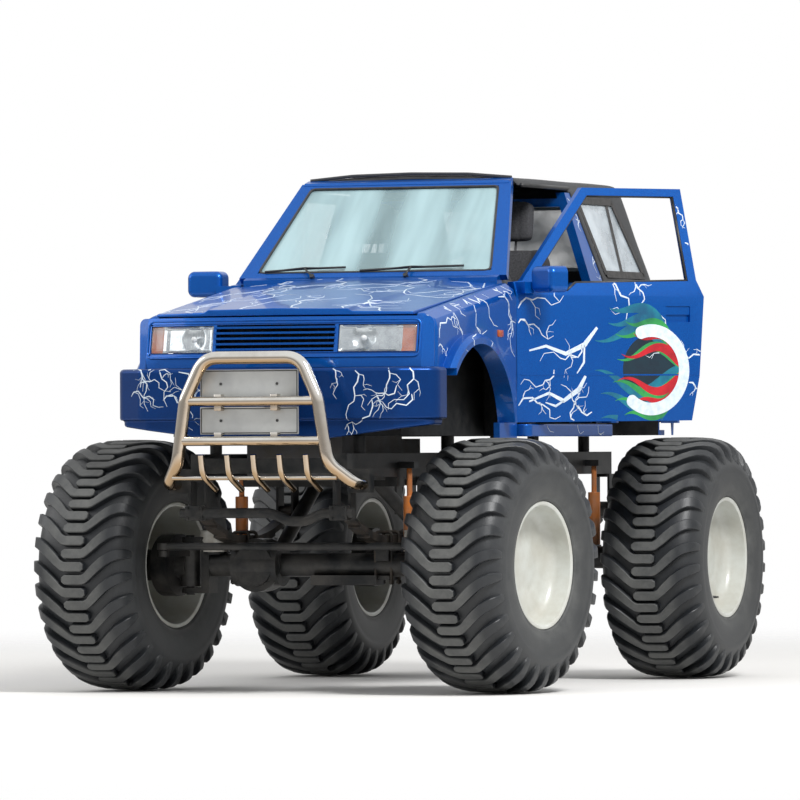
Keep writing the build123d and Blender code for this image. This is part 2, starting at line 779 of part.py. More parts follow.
with BuildPart() as windscreen_frame:
    with BuildSketch(screen_plane):
        Polygon(
            (-screen_half_base, -20),
            (-screen_half_top, screen_length),
            (screen_half_top, screen_length),
            (screen_half_base, -20),
            align=None,
        )
        Polygon(*glass_line, align=None, mode=Mode.SUBTRACT)
    extrude(amount=-screen_depth)
    cowl = [
        (682, cowl_low),
        (682, belt_height + 8),
        (713, belt_height + 19),
        (750, belt_height),
        (750, cowl_low),
    ]
    add(side_cut(cowl, -cowl_half, cowl_half))
    header = [
        (screen_top - 11, header_low + 19),
        (screen_top + 1, header_low + 32),
        (header_rear, header_low + 45),
        (header_rear, header_low),
        (screen_top + 1, header_low),
    ]
    add(side_cut(header, -screen_half_top + 12, screen_half_top - 12))
hand_in(windscreen_frame, "windscreen_frame")

with BuildPart() as windscreen:
    with BuildSketch(screen_plane.offset(-8)):
        Polygon(*glass_line, align=None)
    extrude(amount=-6)
hand_in(windscreen, "windscreen")

# Doors: a thick lower panel and a thin window frame that leans in to the roof.
door_inner = 662.0
door_frame_depth = 32.0
frame_line = 783.0
frame_slope = cos(radians(screen_rake)) / sin(radians(screen_rake))


def frame_y(z, inset=0.0):
    """The y of the door frame's raked front edge at a height, moved in by an inset."""
    return frame_line + inset + (z - screen_base.Z) * frame_slope


door_top = roof_edge_height - 6
window_low = belt_height - 19
window_top = door_top - 37
door_outline = [
    (door_front, door_low),
    (door_front, belt_height - 15),
    (frame_y(belt_height - 9), belt_height - 9),
    (frame_y(door_top), door_top),
    (1752, door_top),
    (1748, belt_height),
    (door_rear, shoulder_height),
    (1742, mid_height),
    (1702, door_low + 6),
]
window_outline = [
    (frame_y(window_low, 58), window_low - 39),
    (990, window_low - 39),
    (1050, window_low),
    (1700, window_low + 14),
    (1704, window_top),
    (frame_y(window_top, 58), window_top),
    (frame_y(window_low, 58), window_low),
]
handle_y = 1620.0
handle_z = 1766.0
handle_length = 140.0
handle_height = 74.0
mirror_half_depth = 48.0
with BuildPart() as mirror:
    Box(180, 2 * mirror_half_depth, 124)
    fillet(mirror.edges().filter_by(Axis.Y), 34)
    fillet(mirror.edges().group_by(Axis.Y)[0], 26)
for name, side in (("left", 1), ("right", -1)):
    with BuildPart() as door:
        add(slab(side_band(side, door_inner, door_frame_depth), door_front - 10, door_rear + 10))
        add(side_cut(door_outline, 300, 900, side), mode=Mode.INTERSECT)
        add(side_cut(window_outline, 300, 900, side), mode=Mode.SUBTRACT)
        with Locations((side * skin_shoulder, handle_y, handle_z)):
            Box(30, handle_length, handle_height, mode=Mode.SUBTRACT)
        with Locations((side * (skin_shoulder - 10), handle_y, handle_z + 16)):
            Box(12, handle_length + 10, handle_height / 2)
        with Locations((side * 880, 734 + mirror_half_depth, belt_height - 6)):
            add(mirror.part)
        with Locations((side * 755, 726, belt_height - 44)):
            Box(90, 52, 54)
    swing = turned_about(hinge_x, door_front + 3, -door_open) if side == 1 else None
    hand_in(door, f"door_{name}", swing)

glass_band = [
    (-(skin_belt - 12), belt_height - 80),
    (-(skin_belt - 12), belt_height),
    (-(skin_roof - 12), roof_edge_height),
    (-(skin_roof - 17), roof_edge_height),
    (-(skin_belt - 17), belt_height),
    (-(skin_belt - 17), belt_height - 80),
]
with BuildPart() as door_glass:
    add(slab(glass_band, door_front, door_rear))
    add(side_cut(window_outline, 300, 900, -1), mode=Mode.INTERSECT)
hand_in(door_glass, "door_glass_right")

# Tub: floor, bulkhead, engine-bay sides, radiator support, sills, wheel boxes and rear panel.
tub_half = 700.0
floor_thickness = 26.0
bulkhead_y = 700.0
sheet = 16.0
bay_half = 570.0
bay_front = -345.0
wheel_box_inner = 470.0
wheel_box_top = 1640.0
rear_arch_half = 430.0
rear_panel_y = quarter_rear - 32
hinge_post_top = belt_height - 75
hinge_post_low_top = belt_height - 150
with BuildPart() as tub:
    with Locations((0, (bulkhead_y + rear_panel_y) / 2, sill_low + floor_thickness / 2)):
        Box(2 * tub_half, rear_panel_y - bulkhead_y, floor_thickness)
    with Locations((0, bulkhead_y + sheet / 2, (sill_low + cowl_low) / 2)):
        Box(2 * cowl_half, sheet, cowl_low - sill_low)
    with Locations((0, bay_front + 12, (sill_low + 1700) / 2)):
        Box(2 * bay_half, 24, 1700 - sill_low)
    with Locations((0, (bay_front - 85 + bay_front) / 2, nose_low - 9)):
        Box(2 * bay_half - 20, 85, 18)
    with Locations((450, (bay_front + bumper_pad) / 2, 1340), (-450, (bay_front + bumper_pad) / 2, 1340)):
        Box(60, bay_front - bumper_pad, 60)
    rear_pad_y = (rear_panel_y + rear_bumper_pad) / 2
    with Locations((450, rear_pad_y, 1310), (-450, rear_pad_y, 1310)):
        Box(60, rear_bumper_pad - rear_panel_y, 60)
    with Locations((0, rear_panel_y - 14, (sill_low + 1424) / 2)):
        Box(2 * tub_half - 100, 28, 1424 - sill_low)
    for side in (1, -1):
        with Locations((side * (bay_half - sheet / 2), (bulkhead_y + bay_front) / 2, (sill_low + 1690) / 2)):
            Box(sheet, bulkhead_y - bay_front, 1690 - sill_low)
        with Locations((side * 627, 678, (sill_low + hinge_post_top) / 2)):
            Box(50, 76, hinge_post_top - sill_low)
        with Locations((side * 677, 642, (sill_low + hinge_post_low_top) / 2)):
            Box(74, 84, hinge_post_low_top - sill_low)
        sill_rear = rear_arch_y - rear_arch_half - 20
        with Locations((side * (tub_half - 25), (bulkhead_y + sill_rear) / 2, (sill_low + sill_top) / 2)):
            Box(50, sill_rear - bulkhead_y, sill_top - sill_low)
        with Locations((side * (wheel_box_inner + tub_half) / 2, rear_arch_y, (sill_low + wheel_box_top) / 2)):
            Box(tub_half - wheel_box_inner, 2 * rear_arch_half + 2 * sheet, wheel_box_top - sill_low)
    for side in (1, -1):
        outer = tub_half + 20
        with Locations(
            (side * (wheel_box_inner + sheet + outer) / 2, rear_arch_y, (sill_low + wheel_box_top - 2 * sheet) / 2)
        ):
            Box(
                outer - wheel_box_inner - sheet,
                2 * rear_arch_half,
                wheel_box_top - sill_low,
                mode=Mode.SUBTRACT,
            )
hand_in(tub, "tub")

# Rear quarters: side skin with the rear arch and flare, door post and rear corner.
quarter_front = door_rear + gap
for name, side in (("left", 1), ("right", -1)):
    band = side_band(side, skin_low - wall, wall)
    with BuildPart() as quarter:
        add(slab([band[0], band[1], band[2], band[3], band[6], band[7]], quarter_front, quarter_rear))
        with Locations((side * (tub_half - 50), quarter_front + 13, (sill_top + belt_height) / 2)):
            Box(110, 26, belt_height - sill_top)
        with Locations((side * (tub_half - 45), (rear_panel_y + 2 + quarter_rear) / 2, (1420 + belt_height) / 2)):
            Box(90, quarter_rear - rear_panel_y - 2, belt_height - 1420)
        with BuildSketch(Plane.YZ.offset(side * 600 if side == 1 else -900)):
            with Locations((rear_arch_y, arch_z)):
                Circle(arch_radius)
        extrude(amount=300, mode=Mode.SUBTRACT)
        add(flare(side, rear_arch_y))
        with Locations((side * skin_mid, rear_arch_y, arch_low - 500)):
            Box(300, 1040, 1000, mode=Mode.SUBTRACT)
        with Locations((side * skin_mid, quarter_front, arch_low - 100)):
            Box(200, 400, 200, mode=Mode.SUBTRACT)
    hand_in(quarter, f"quarter_{name}")

# Roll hoop: two tapering pillars behind the doors and a bar under the roof.
hoop_base = (quarter_front, 1948.0)
hoop_top = (quarter_front - 4, 1842.0)
roof_skin = 16.0
hoop_depth = 46.0
hoop_bar_top = roof_edge_height - 36
with BuildPart() as roll_hoop:
    for side in (1, -1):
        band = side_band(side, skin_low - wall, hoop_depth)
        post = [
            (hoop_base[0], belt_height),
            (hoop_top[0], roof_edge_height - 8),
            (hoop_top[1], roof_edge_height - 8),
            (hoop_base[1], belt_height),
        ]
        upper_band = slab([band[3], band[4], band[5], band[6]], hoop_top[0] - 20, hoop_base[1] + 20)
        add(upper_band & side_cut(post, 300, 900, side))
    with Locations((0, (hoop_top[0] + hoop_top[1]) / 2, hoop_bar_top - 20)):
        Box(2 * (skin_roof - hoop_depth + 24), hoop_top[1] - hoop_top[0], 40)
hand_in(roll_hoop, "roll_hoop")

# Soft top: one folded cover with side, rear and roof walls and cut windows.
cover_top = roof_height + 28
top_rear_low = (quarter_rear - 4, belt_height)
top_rear_high = (quarter_rear - 202, roof_edge_height + 24)
rear_slope = 60.0
corner_low = [(735, -288), (602, 45), (900, 45), (900, -288)]  # x, y from the rear of the quarters
corner_high = [(600, -477), (467, -122), (900, -122), (900, -477)]
roof_shoulder = (528.0, roof_edge_height + 52)
cover_front = header_rear
cover_side = [
    (cover_front, roof_edge_height + 4),
    (cover_front, cover_top),
    (top_rear_high[0] - rear_slope, cover_top),
    top_rear_high,
    top_rear_low,
    (hoop_base[1] + 2, belt_height),
    (hoop_top[1] + 2, roof_edge_height + 4),
]
cover_outer = [(skin_belt, belt_height), (skin_roof, roof_edge_height), roof_shoulder]
cover_inner = [
    (skin_belt - roof_skin, belt_height),
    (skin_roof - roof_skin, roof_edge_height - 6),
    (roof_shoulder[0] - 6, roof_shoulder[1] - roof_skin),
]


def cover_section(points, top):
    """A closed line across the car, up one side, over a crowned roof and down the other."""
    with BuildSketch(Plane.XZ) as section:
        with BuildLine():
            left = Polyline(*points)
            right = Polyline(*[(-x, z) for x, z in points])
            ThreePointArc(left @ 1, (0, top), right @ 1)
            Line(left @ 0, right @ 0)
        make_face()
    return section.sketch


cover_reach = quarter_rear + 30
cover_length = cover_reach - cover_front + 80
side_window_low = belt_height + 45
side_window_top = roof_edge_height - 41
side_window = [
    (2030, side_window_low),
    (1925, side_window_top),
    (quarter_rear - 470, side_window_top),
    (quarter_rear - 310, side_window_low),
]
rear_window = (440.0, belt_height + 80, roof_edge_height - 46)  # half width, low and high z
cover_inside = [
    (cover_front - 50, belt_height - 30),
    (cover_front - 50, cover_top),
    (top_rear_high[0] - rear_slope - roof_skin, cover_top),
    (top_rear_high[0] - roof_skin, top_rear_high[1] - roof_skin / 2),
    (top_rear_low[0] - roof_skin, belt_height),
    (top_rear_low[0] - roof_skin, belt_height - 30),
]


def rear_corner(side, inset):
    """The wedge cut from a rear corner of the cover, moved inward by an inset."""
    with BuildPart() as piece:
        for z, corner in ((belt_height - 1, corner_low), (cover_top, corner_high)):
            with BuildSketch(Plane.XY.offset(z)):
                Polygon(*[(side * (x - inset), quarter_rear + y - inset) for x, y in corner], align=None)
        loft(ruled=True)
    return piece.part


with BuildPart() as hollow:
    add(Pos(0, cover_reach, 0) * extrude(cover_section(cover_inner, roof_height - roof_skin), cover_length))
    add(side_cut(cover_inside, -900, 900), mode=Mode.INTERSECT)
    for side in (1, -1):
        add(rear_corner(side, roof_skin), mode=Mode.SUBTRACT)
with BuildPart() as soft_top:
    add(Pos(0, cover_reach, 0) * extrude(cover_section(cover_outer, roof_height), cover_length))
    add(side_cut(cover_side, -900, 900), mode=Mode.INTERSECT)
    for side in (1, -1):
        add(rear_corner(side, 0), mode=Mode.SUBTRACT)
    add(hollow.part, mode=Mode.SUBTRACT)
    with Locations((0, 1900, belt_height)):
        Box(2 * (skin_belt - roof_skin), 1400, 6, mode=Mode.SUBTRACT)
    add(side_cut(side_window, -900, 900), mode=Mode.SUBTRACT)
    with Locations((0, quarter_rear - 120, (rear_window[1] + rear_window[2]) / 2)):
        Box(2 * rear_window[0], 400, rear_window[2] - rear_window[1], mode=Mode.SUBTRACT)
hand_in(soft_top, "soft_top")

# Clear panes of the soft top, in its side and rear openings.
rear_lean = (top_rear_low[0] - top_rear_high[0]) / (top_rear_high[1] - top_rear_low[1])
pane_half, pane_low, pane_high = rear_window
pane_low_y = top_rear_low[0] - (pane_low - belt_height) * rear_lean - 6
pane_high_y = top_rear_low[0] - (pane_high - belt_height) * rear_lean - 6
rear_pane = [(pane_low_y, pane_low), (pane_high_y, pane_high), (pane_high_y - 3, pane_high), (pane_low_y - 3, pane_low)]
with BuildPart() as soft_windows:
    for side in (1, -1):
        pane = [
            (side * (skin_belt - 6), belt_height),
            (side * (skin_roof - 6), roof_edge_height),
            (side * (skin_roof - 9), roof_edge_height),
            (side * (skin_belt - 9), belt_height),
        ]
        add(slab(pane, 1900, quarter_rear - 270) & side_cut(side_window, 300, 900, side))
    add(side_cut(rear_pane, -pane_half, pane_half))
hand_in(soft_windows, "soft_top_windows")

# Tailgate: a flat panel between the rear corners, hinged on the right.
with BuildPart() as tailgate:
    with Locations((0, (rear_panel_y + 2 + quarter_rear - 2) / 2, (1430 + belt_height - 6) / 2)):
        Box(2 * 604, quarter_rear - rear_panel_y - 4, belt_height - 6 - 1430)
    with Locations((0, rear_panel_y + 10, 1700)):
        Box(900, 26, 300, mode=Mode.SUBTRACT)
hand_in(tailgate, "tailgate")

# Side steps: flat bars with round ends, bolted to the sills.
with BuildPart() as side_steps:
    for side in (1, -1):
        with Locations((side * (tub_half + 52), (700 + 1850) / 2, 1214)):
            Box(104, 1150, 58)
    fillet(side_steps.edges().filter_by(Axis.Z), 40)
hand_in(side_steps, "side_steps")

# Front seats: cushion, back and head restraint on a low base.
with BuildPart() as front_seats:
    for side in (1, -1):
        profile = [
            (1010, sill_low + floor_thickness),
            (1010, 1500),
            (960, 1510),
            (960, 1640),
            (1370, 1610),
            (1520, 2090),
            (1610, 2090),
            (1500, 1540),
            (1450, 1500),
            (1450, sill_low + floor_thickness),
        ]
        add(side_cut(profile, side * 360 - 235, side * 360 + 235))
        with Locations((side * 360, 1575, 2225)):
            Box(250, 80, 190)
        with Locations((side * 360, 1570, 2110)):
            Box(60, 24, 60)
hand_in(front_seats, "front_seats")

# Dashboard: a closed ledge across the bulkhead.
dash_rear = 985.0
dash = [  # y, z from the belt line
    (750, -240),
    (750, -25),
    (810, 0),
    (960, -5),
    (dash_rear, -40),
    (dash_rear, -170),
    (900, -240),
]
with BuildPart() as dashboard:
    add(side_cut([(y, belt_height + z) for y, z in dash], -640, 640))
hand_in(dashboard, "dashboard")

# Steering wheel: rim, three spokes and a hub on the end of its column.
wheel_centre = Vector(360, 1120, belt_height - 30)
wheel_plane = Plane(origin=wheel_centre, x_dir=(1, 0, 0), z_dir=(0, cos(radians(28)), sin(radians(28))))
wheel_radius = 185.0
grip_radius = 15.0
grip = [(grip_radius * cos(radians(45 * turn)), wheel_radius + grip_radius * sin(radians(45 * turn))) for turn in range(8)]
with BuildPart() as steering_wheel:
    add(wheel_plane.location * Location((0, 0, 0), (0, 90, 0)) * turned_ring(grip, 32))
    with BuildSketch(wheel_plane.offset(-12)):
        Circle(42)
        for turn in (0, 180, 270):
            with Locations(Location((0, 0, 0), (0, 0, turn))):
                with Locations((wheel_radius / 2, 0)):
                    Rectangle(wheel_radius, 34)
    extrude(amount=22)
    with BuildSketch(wheel_plane.offset(-12)):
        Circle(26)
    extrude(amount=-260)
    with Locations((360, dash_rear - 500, belt_height - 130)):
        Box(600, 1000, 600, mode=Mode.SUBTRACT)
hand_in(steering_wheel, "steering_wheel")

# Bull bar: a bent hoop, two cross tubes, a thin low rail and five curved prongs.
hoop_radius = 30.0
bar_tube = 22.0
plate_front = -716.0
hoop_path = [
    (465, rail_front, 972),
    (465, -650, 972),
    (372, -752, 1070),
    (330, -760, 1360),
    (240, -750, 1552),
]
hoop_route = hoop_path + [(-x, y, z) for x, y, z in reversed(hoop_path)]
with BuildPart() as bull_bar:
    add(tube(bent(hoop_route, 50), hoop_radius, 12))
    for half, z in ((331, 1353), (359, 1170)):
        with Locations(across(0, -758, z)):
            Cylinder(bar_tube, 2 * half)
    for x in (-170, 110):
        with Locations((x, (plate_front - 758) / 2, 1347)):
            Box(36, plate_front + 758, 76)
        with Locations((x, (plate_front - 758) / 2, 1190)):
            Box(36, plate_front + 758, 40)
    with Locations(across(0, -728, 1000)):
        Cylinder(10, 2 * 408)
    for count in range(5):
        x = -240 + 130 * count
        add(tube(bent([(x, -790, 1107), (x, -768, 1010), (x + 10, -640, 946)], 40), 15, 8))
hand_in(bull_bar, "bull_bar")

# Blank plates behind the cross tubes.
with BuildPart() as plates:
    for low, high in ((1366, 1498), (1200, 1326)):
        with Locations((-30, plate_front + 4, (low + high) / 2)):
            Box(490, 8, high - low)
hand_in(plates, "blank_plates")

# Tail lamps: upright lenses on the rear corners.
with BuildPart() as tail_lamps:
    for side in (1, -1):
        with Locations((side * 655, quarter_rear + 12, 1620)):
            Box(80, 24, 240)
hand_in(tail_lamps, "tail_lamps")

# Exhaust: a silencer beside the left rail, with its pipes.
with BuildPart() as exhaust:
    along_y = Location((0, 0, 0), (90, 0, 0))
    with Locations(Location((500, 1300, 1085)) * along_y):
        Cylinder(75, 560)
    with Locations(Location((500, 1250, 1085)) * along_y):
        Cylinder(24, 1100)
    for y in (1100, 1500):
        with Locations(((rail_outer + 470) / 2, y, 1070)):
            Box(470 - rail_outer, 30, 30)
hand_in(exhaust, "exhaust")

# Fuel tank: a closed box beside the right rail.
with BuildPart() as fuel_tank:
    with Locations((-(rail_outer + 115), 1350, 1080)):
        Box(230, 640, 190)
    fillet(fuel_tank.edges().filter_by(Axis.Y), 30)
hand_in(fuel_tank, "fuel_tank")
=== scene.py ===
import json
import math
import random

import bmesh
import bpy
from mathutils import Matrix, Vector
from mathutils.bvhtree import BVHTree

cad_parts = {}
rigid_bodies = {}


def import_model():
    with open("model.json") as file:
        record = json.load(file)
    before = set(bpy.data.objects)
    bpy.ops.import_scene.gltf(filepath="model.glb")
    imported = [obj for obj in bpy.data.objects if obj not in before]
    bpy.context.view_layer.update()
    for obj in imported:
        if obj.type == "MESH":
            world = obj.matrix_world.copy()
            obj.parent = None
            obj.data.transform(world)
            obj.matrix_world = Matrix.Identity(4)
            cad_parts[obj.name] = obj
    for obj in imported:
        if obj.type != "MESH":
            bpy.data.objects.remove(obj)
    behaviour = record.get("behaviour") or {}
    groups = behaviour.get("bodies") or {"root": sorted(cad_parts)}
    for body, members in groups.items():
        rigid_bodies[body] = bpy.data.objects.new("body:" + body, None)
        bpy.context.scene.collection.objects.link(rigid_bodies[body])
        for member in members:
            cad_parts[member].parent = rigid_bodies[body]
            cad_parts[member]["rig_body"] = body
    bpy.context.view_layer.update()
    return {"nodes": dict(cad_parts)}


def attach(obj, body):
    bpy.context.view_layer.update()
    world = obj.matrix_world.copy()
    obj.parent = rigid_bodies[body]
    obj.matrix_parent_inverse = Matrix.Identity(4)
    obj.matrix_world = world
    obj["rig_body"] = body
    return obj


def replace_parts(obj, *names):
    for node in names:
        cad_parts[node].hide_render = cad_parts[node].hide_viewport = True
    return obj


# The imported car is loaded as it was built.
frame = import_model()

# The camera stands far off, in front of the car and to its left, a little over a metre above the
# ground, and has a very long lens. Its place, like most below, is measured from the front axle.
middle_x, middle_y = 0.06622, 1.1175  # the car's origin, from the middle of the front axle


def on_car(x, y, z):
    """A point from the middle of the front axle, moved to the car's own origin."""
    return Vector((x - middle_x, y - middle_y, z))


camera_data = bpy.data.cameras.new("camera")
camera_data.lens = 355.1
camera_data.sensor_width = 36.0
camera_data.clip_end = 300.0
camera = bpy.data.objects.new("camera", camera_data)
bpy.context.scene.collection.objects.link(camera)
turn, tilt, roll = -0.38301, 0.00605, -0.00556  # radians
camera_place = on_car(14.1296, -34.007, 1.135)
forward = Vector((math.sin(turn) * math.cos(tilt), math.cos(turn) * math.cos(tilt), math.sin(tilt)))
level = Vector((math.cos(turn), -math.sin(turn), 0))
upright = level.cross(forward)
across_view = math.cos(roll) * level + math.sin(roll) * upright
up_view = -math.sin(roll) * level + math.cos(roll) * upright
axes = Matrix((across_view, up_view, -forward)).transposed().to_4x4()
camera.matrix_world = Matrix.Translation(camera_place) @ axes
bpy.context.scene.camera = camera
bpy.context.scene.view_settings.view_transform = "Standard"


# The floor is a pale studio floor that fades into the white around it. It catches the car's shadow
# and is no part of the car.
def painted(name):
    """A new material with its node tree, its surface shader and the places on its object."""
    material = bpy.data.materials.new(name)
    material.use_nodes = True
    tree = material.node_tree
    place = tree.nodes.new("ShaderNodeTexCoord").outputs["Object"]
    return material, tree, tree.nodes["Principled BSDF"], place


def filled(node, inputs):
    """Sets a node's inputs, each to a value or to the output of another node."""
    for name, value in inputs.items():
        if isinstance(value, bpy.types.NodeSocket):
            node.id_data.links.new(value, node.inputs[name])
        else:
            node.inputs[name].default_value = value
    return node


def ranged(tree, value, start, end, low=0.0, high=1.0):
    """A value taken from one range to another, and held at the ends."""
    inputs = {"Value": value, "From Min": start, "From Max": end, "To Min": low, "To Max": high}
    return filled(tree.nodes.new("ShaderNodeMapRange"), inputs).outputs["Result"]


def length_of(tree, vector):
    """How long a vector is."""
    node = tree.nodes.new("ShaderNodeVectorMath")
    node.operation = "LENGTH"
    return filled(node, {0: vector}).outputs["Value"]


floor_radius, fade_from, fade_to = 13.0, 2.5, 12.5
floor_mesh = bpy.data.meshes.new("floor")
ground = bmesh.new()
bmesh.ops.create_circle(ground, cap_ends=True, radius=floor_radius, segments=96)
ground.to_mesh(floor_mesh)
ground.free()
floor = bpy.data.objects.new("floor", floor_mesh)
bpy.context.scene.collection.objects.link(floor)
floor.location.z = -0.002
floor_paint, tree, shader, place = painted("studio_floor")
floor_mesh.materials.append(floor_paint)
filled(shader, {"Base Color": (0.78, 0.77, 0.75, 1), "Roughness": 0.85})
fade = ranged(tree, length_of(tree, place), fade_from, fade_to)
fade.node.interpolation_type = "SMOOTHSTEP"
clear = tree.nodes.new("ShaderNodeBsdfTransparent").outputs["BSDF"]
blend = filled(tree.nodes.new("ShaderNodeMixShader"), {"Fac": fade, 1: shader.outputs["BSDF"], 2: clear})
filled(tree.nodes["Material Output"], {"Surface": blend.outputs["Shader"]})


# The light is a soft sky with one wide lamp high at the front left, like a bright day with thin
# cloud. Metal mirrors a sky that darkens to the horizon, and the background is white.
def height_of(tree, vector):
    """The Z of a vector."""
    return filled(tree.nodes.new("ShaderNodeSeparateXYZ"), {"Vector": vector}).outputs["Z"]


def combined(tree, operation, one, two):
    """Two values put together by an operation."""
    node = tree.nodes.new("ShaderNodeMath")
    node.operation = operation
    return filled(node, {0: one, 1: two}).outputs["Value"]


def mixed(tree, share, one, two, kind="RGBA"):
    """A colour, or a number where the kind says so, between two others by a share."""
    node = tree.nodes.new("ShaderNodeMix")
    node.data_type = kind
    return filled(node, {"Factor": share, "A": one, "B": two}).outputs["Result"]


sky = bpy.data.worlds.new("sky")
bpy.context.scene.world = sky
sky.use_nodes = True
tree = sky.node_tree
rays = tree.nodes.new("ShaderNodeLightPath").outputs
rise = height_of(tree, tree.nodes.new("ShaderNodeTexCoord").outputs["Generated"])
sky_light = ranged(tree, rise, 0.0, 1.0, 0.30, 0.95)
mirrored_sky = ranged(tree, rise, 0.0, 0.30, 0.45, 1.0)
unseen_sky = mixed(tree, rays["Is Glossy Ray"], sky_light, mirrored_sky, kind="FLOAT")
seen = combined(tree, "MAXIMUM", rays["Is Camera Ray"], rays["Is Transmission Ray"])
light_level = ranged(tree, seen, 0.0, 1.0, unseen_sky, 1.0)
filled(tree.nodes["Background"], {"Color": (1, 1, 1, 1), "Strength": light_level})
aim = Vector((0, 0, 1.2))
for name, where, size, power in (
    ("high_light", Vector((7.5, -6.0, 9.5)), 3.0, 1650), ("side_light", Vector((-8.0, -4.0, 5.0)), 5.0, 220),
):
    lamp_data = bpy.data.lights.new(name, "AREA")
    lamp_data.size = size
    lamp_data.energy = power
    lamp = bpy.data.objects.new(name, lamp_data)
    lamp.location = where
    lamp.rotation_euler = (aim - where).to_track_quat("-Z", "Y").to_euler()
    bpy.context.scene.collection.objects.link(lamp)


# The ladder frame, with its cross members and spring hangers, is welded from steel box section and
# brushed over with black chassis paint, which is dusty below. A bent tube is clamped across it.
def noise(tree, place, scale, detail, roughness=0.5):
    """A cloudy pattern."""
    inputs = {"Vector": place, "Scale": scale, "Detail": detail, "Roughness": roughness}
    return filled(tree.nodes.new("ShaderNodeTexNoise"), inputs).outputs["Fac"]


def add_relief(tree, shader, height, strength, distance=0.002):
    """Gives a surface fine relief from a pattern."""
    inputs = {"Height": height, "Strength": strength, "Distance": distance}
    filled(shader, {"Normal": filled(tree.nodes.new("ShaderNodeBump"), inputs).outputs["Normal"]})


def coated(name, colour, other, scale, roughness, metallic=0.0, bump=0.15, coat=0.0, dust=None, gloss=0.5):
    """A material of two mottled shades with a fine bump, and dust that thins out upwards."""
    material, tree, shader, place = painted(name)
    mottle = noise(tree, place, scale, 6, 0.62)
    patches = ranged(tree, mottle, 0.38, 0.66)
    shade = mixed(tree, patches, (*colour, 1), (*other, 1))
    if dust:
        dust_colour, low, high, amount = dust
        settled = ranged(tree, height_of(tree, place), low, high, amount, 0.0)
        shade = mixed(tree, combined(tree, "MULTIPLY", settled, patches), shade, (*dust_colour, 1))
    filled(shader, {
        "Base Color": shade, "Metallic": metallic, "Specular IOR Level": gloss,
        "Roughness": ranged(tree, mottle, 0.0, 1.0, max(roughness - 0.08, 0.02), min(roughness + 0.12, 1.0)),
        "Coat Weight": coat, "Coat Roughness": 0.06,
    })
    add_relief(tree, shader, noise(tree, place, scale * 14, 3), bump)
    return material


def finished(name, shape):
    """A smooth mesh from a bmesh that is done with."""
    mesh = bpy.data.meshes.new(name)
    shape.to_mesh(mesh)
    shape.free()
    mesh.polygons.foreach_set("use_smooth", [True] * len(mesh.polygons))
    return mesh


def placed(name, mesh, where, body, *materials, slot):
    """A piece made from a mesh, set at a place and riding on a body."""
    for material in materials:
        mesh.materials.append(material)
    piece = bpy.data.objects.new(name, mesh)
    piece.matrix_world = where
    bpy.context.scene.collection.objects.link(piece)
    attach(piece, body)
    return piece


def rounded(node, material, width=0.004, segments=2, merge=True, *, slot):
    """A piece with the CAD node's own shape and rounded edges, standing for the node."""
    source = frame["nodes"][node]
    shape = bmesh.new()
    shape.from_mesh(source.data)
    bmesh.ops.remove_doubles(shape, verts=shape.verts, dist=0.00002)
    if merge:
        bmesh.ops.dissolve_limit(shape, angle_limit=math.radians(0.8), verts=shape.verts, edges=shape.edges)
    name = node + "_shape"
    piece = placed(name, finished(name, shape), Matrix(), source["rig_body"], material, slot=slot)
    edges = piece.modifiers.new("edges", "BEVEL")
    edges.width = width
    edges.segments = segments
    edges.limit_method = "ANGLE"
    edges.angle_limit = math.radians(28)
    edges.miter_outer = "MITER_ARC"
    edges.harden_normals = True
    flats = piece.modifiers.new("flats", "WEIGHTED_NORMAL")
    flats.keep_sharp = True
    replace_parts(piece, node)
    return piece


def mark_sharp(shape, angle):
    """Splits the shading of a bmesh where its faces meet at more than an angle."""
    for edge in shape.edges:
        edge.smooth = edge.calc_face_angle(0) < math.radians(angle)


def made(name, shape, body, *materials, slot, angle=35, where=Matrix()):
    """A piece from a finished bmesh, smooth but for the edges that meet at more than an angle."""
    bmesh.ops.recalc_face_normals(shape, faces=shape.faces)
    mark_sharp(shape, angle)
    return placed(name, finished(name, shape), where, body, *materials, slot=slot)


def add_skin(shape, rows, closed=True, capped=True):
    """Joins rows of vertices with faces. A closed row is a ring, and a cap shuts an end."""
    for one, two in zip(rows, rows[1:]):
        for k in range(0 if closed else 1, len(one)):
            shape.faces.new((one[k - 1], one[k], two[k], two[k - 1]))
    if capped:
        shape.faces.new(rows[0])
        shape.faces.new(rows[-1])


def add_pipe(shape, corners, radius, bend=0.05, steps=16):
    """Adds a round bar to a bmesh, along a route whose corners are bent to a radius."""
    points = [Vector(corner) for corner in corners]
    route = points[:1]
    for before, corner, after in zip(points, points[1:], points[2:]):
        back, on = before - corner, after - corner
        half_turn = (math.pi - back.angle(on)) / 2
        reach = min(bend * math.tan(half_turn), 0.48 * back.length, 0.48 * on.length)
        start, end = corner + back.normalized() * reach, corner + on.normalized() * reach
        for share in [i / 8 for i in range(9)]:
            rest = 1 - share
            route.append(start * rest ** 2 + corner * 2 * share * rest + end * share * share)
    route.append(points[-1])
    side = (route[1] - route[0]).normalized().orthogonal().normalized()
    rings = []
    for i, point in enumerate(route):
        ahead = (route[min(i + 1, len(route) - 1)] - route[max(i - 1, 0)]).normalized()
        side = (side - ahead * side.dot(ahead)).normalized()
        up = ahead.cross(side)
        rings.append([])
        for around in [2 * math.pi * k / steps for k in range(steps)]:
            out = math.cos(around) * side + math.sin(around) * up
            rings[-1].append(shape.verts.new(point + radius * out))
    add_skin(shape, rings)


def add_bar(shape, corners, radius, bend=0.05, steps=16):
    """Adds a round bar whose corners are given from the middle of the front axle."""
    add_pipe(shape, [on_car(*corner) for corner in corners], radius, bend, steps)


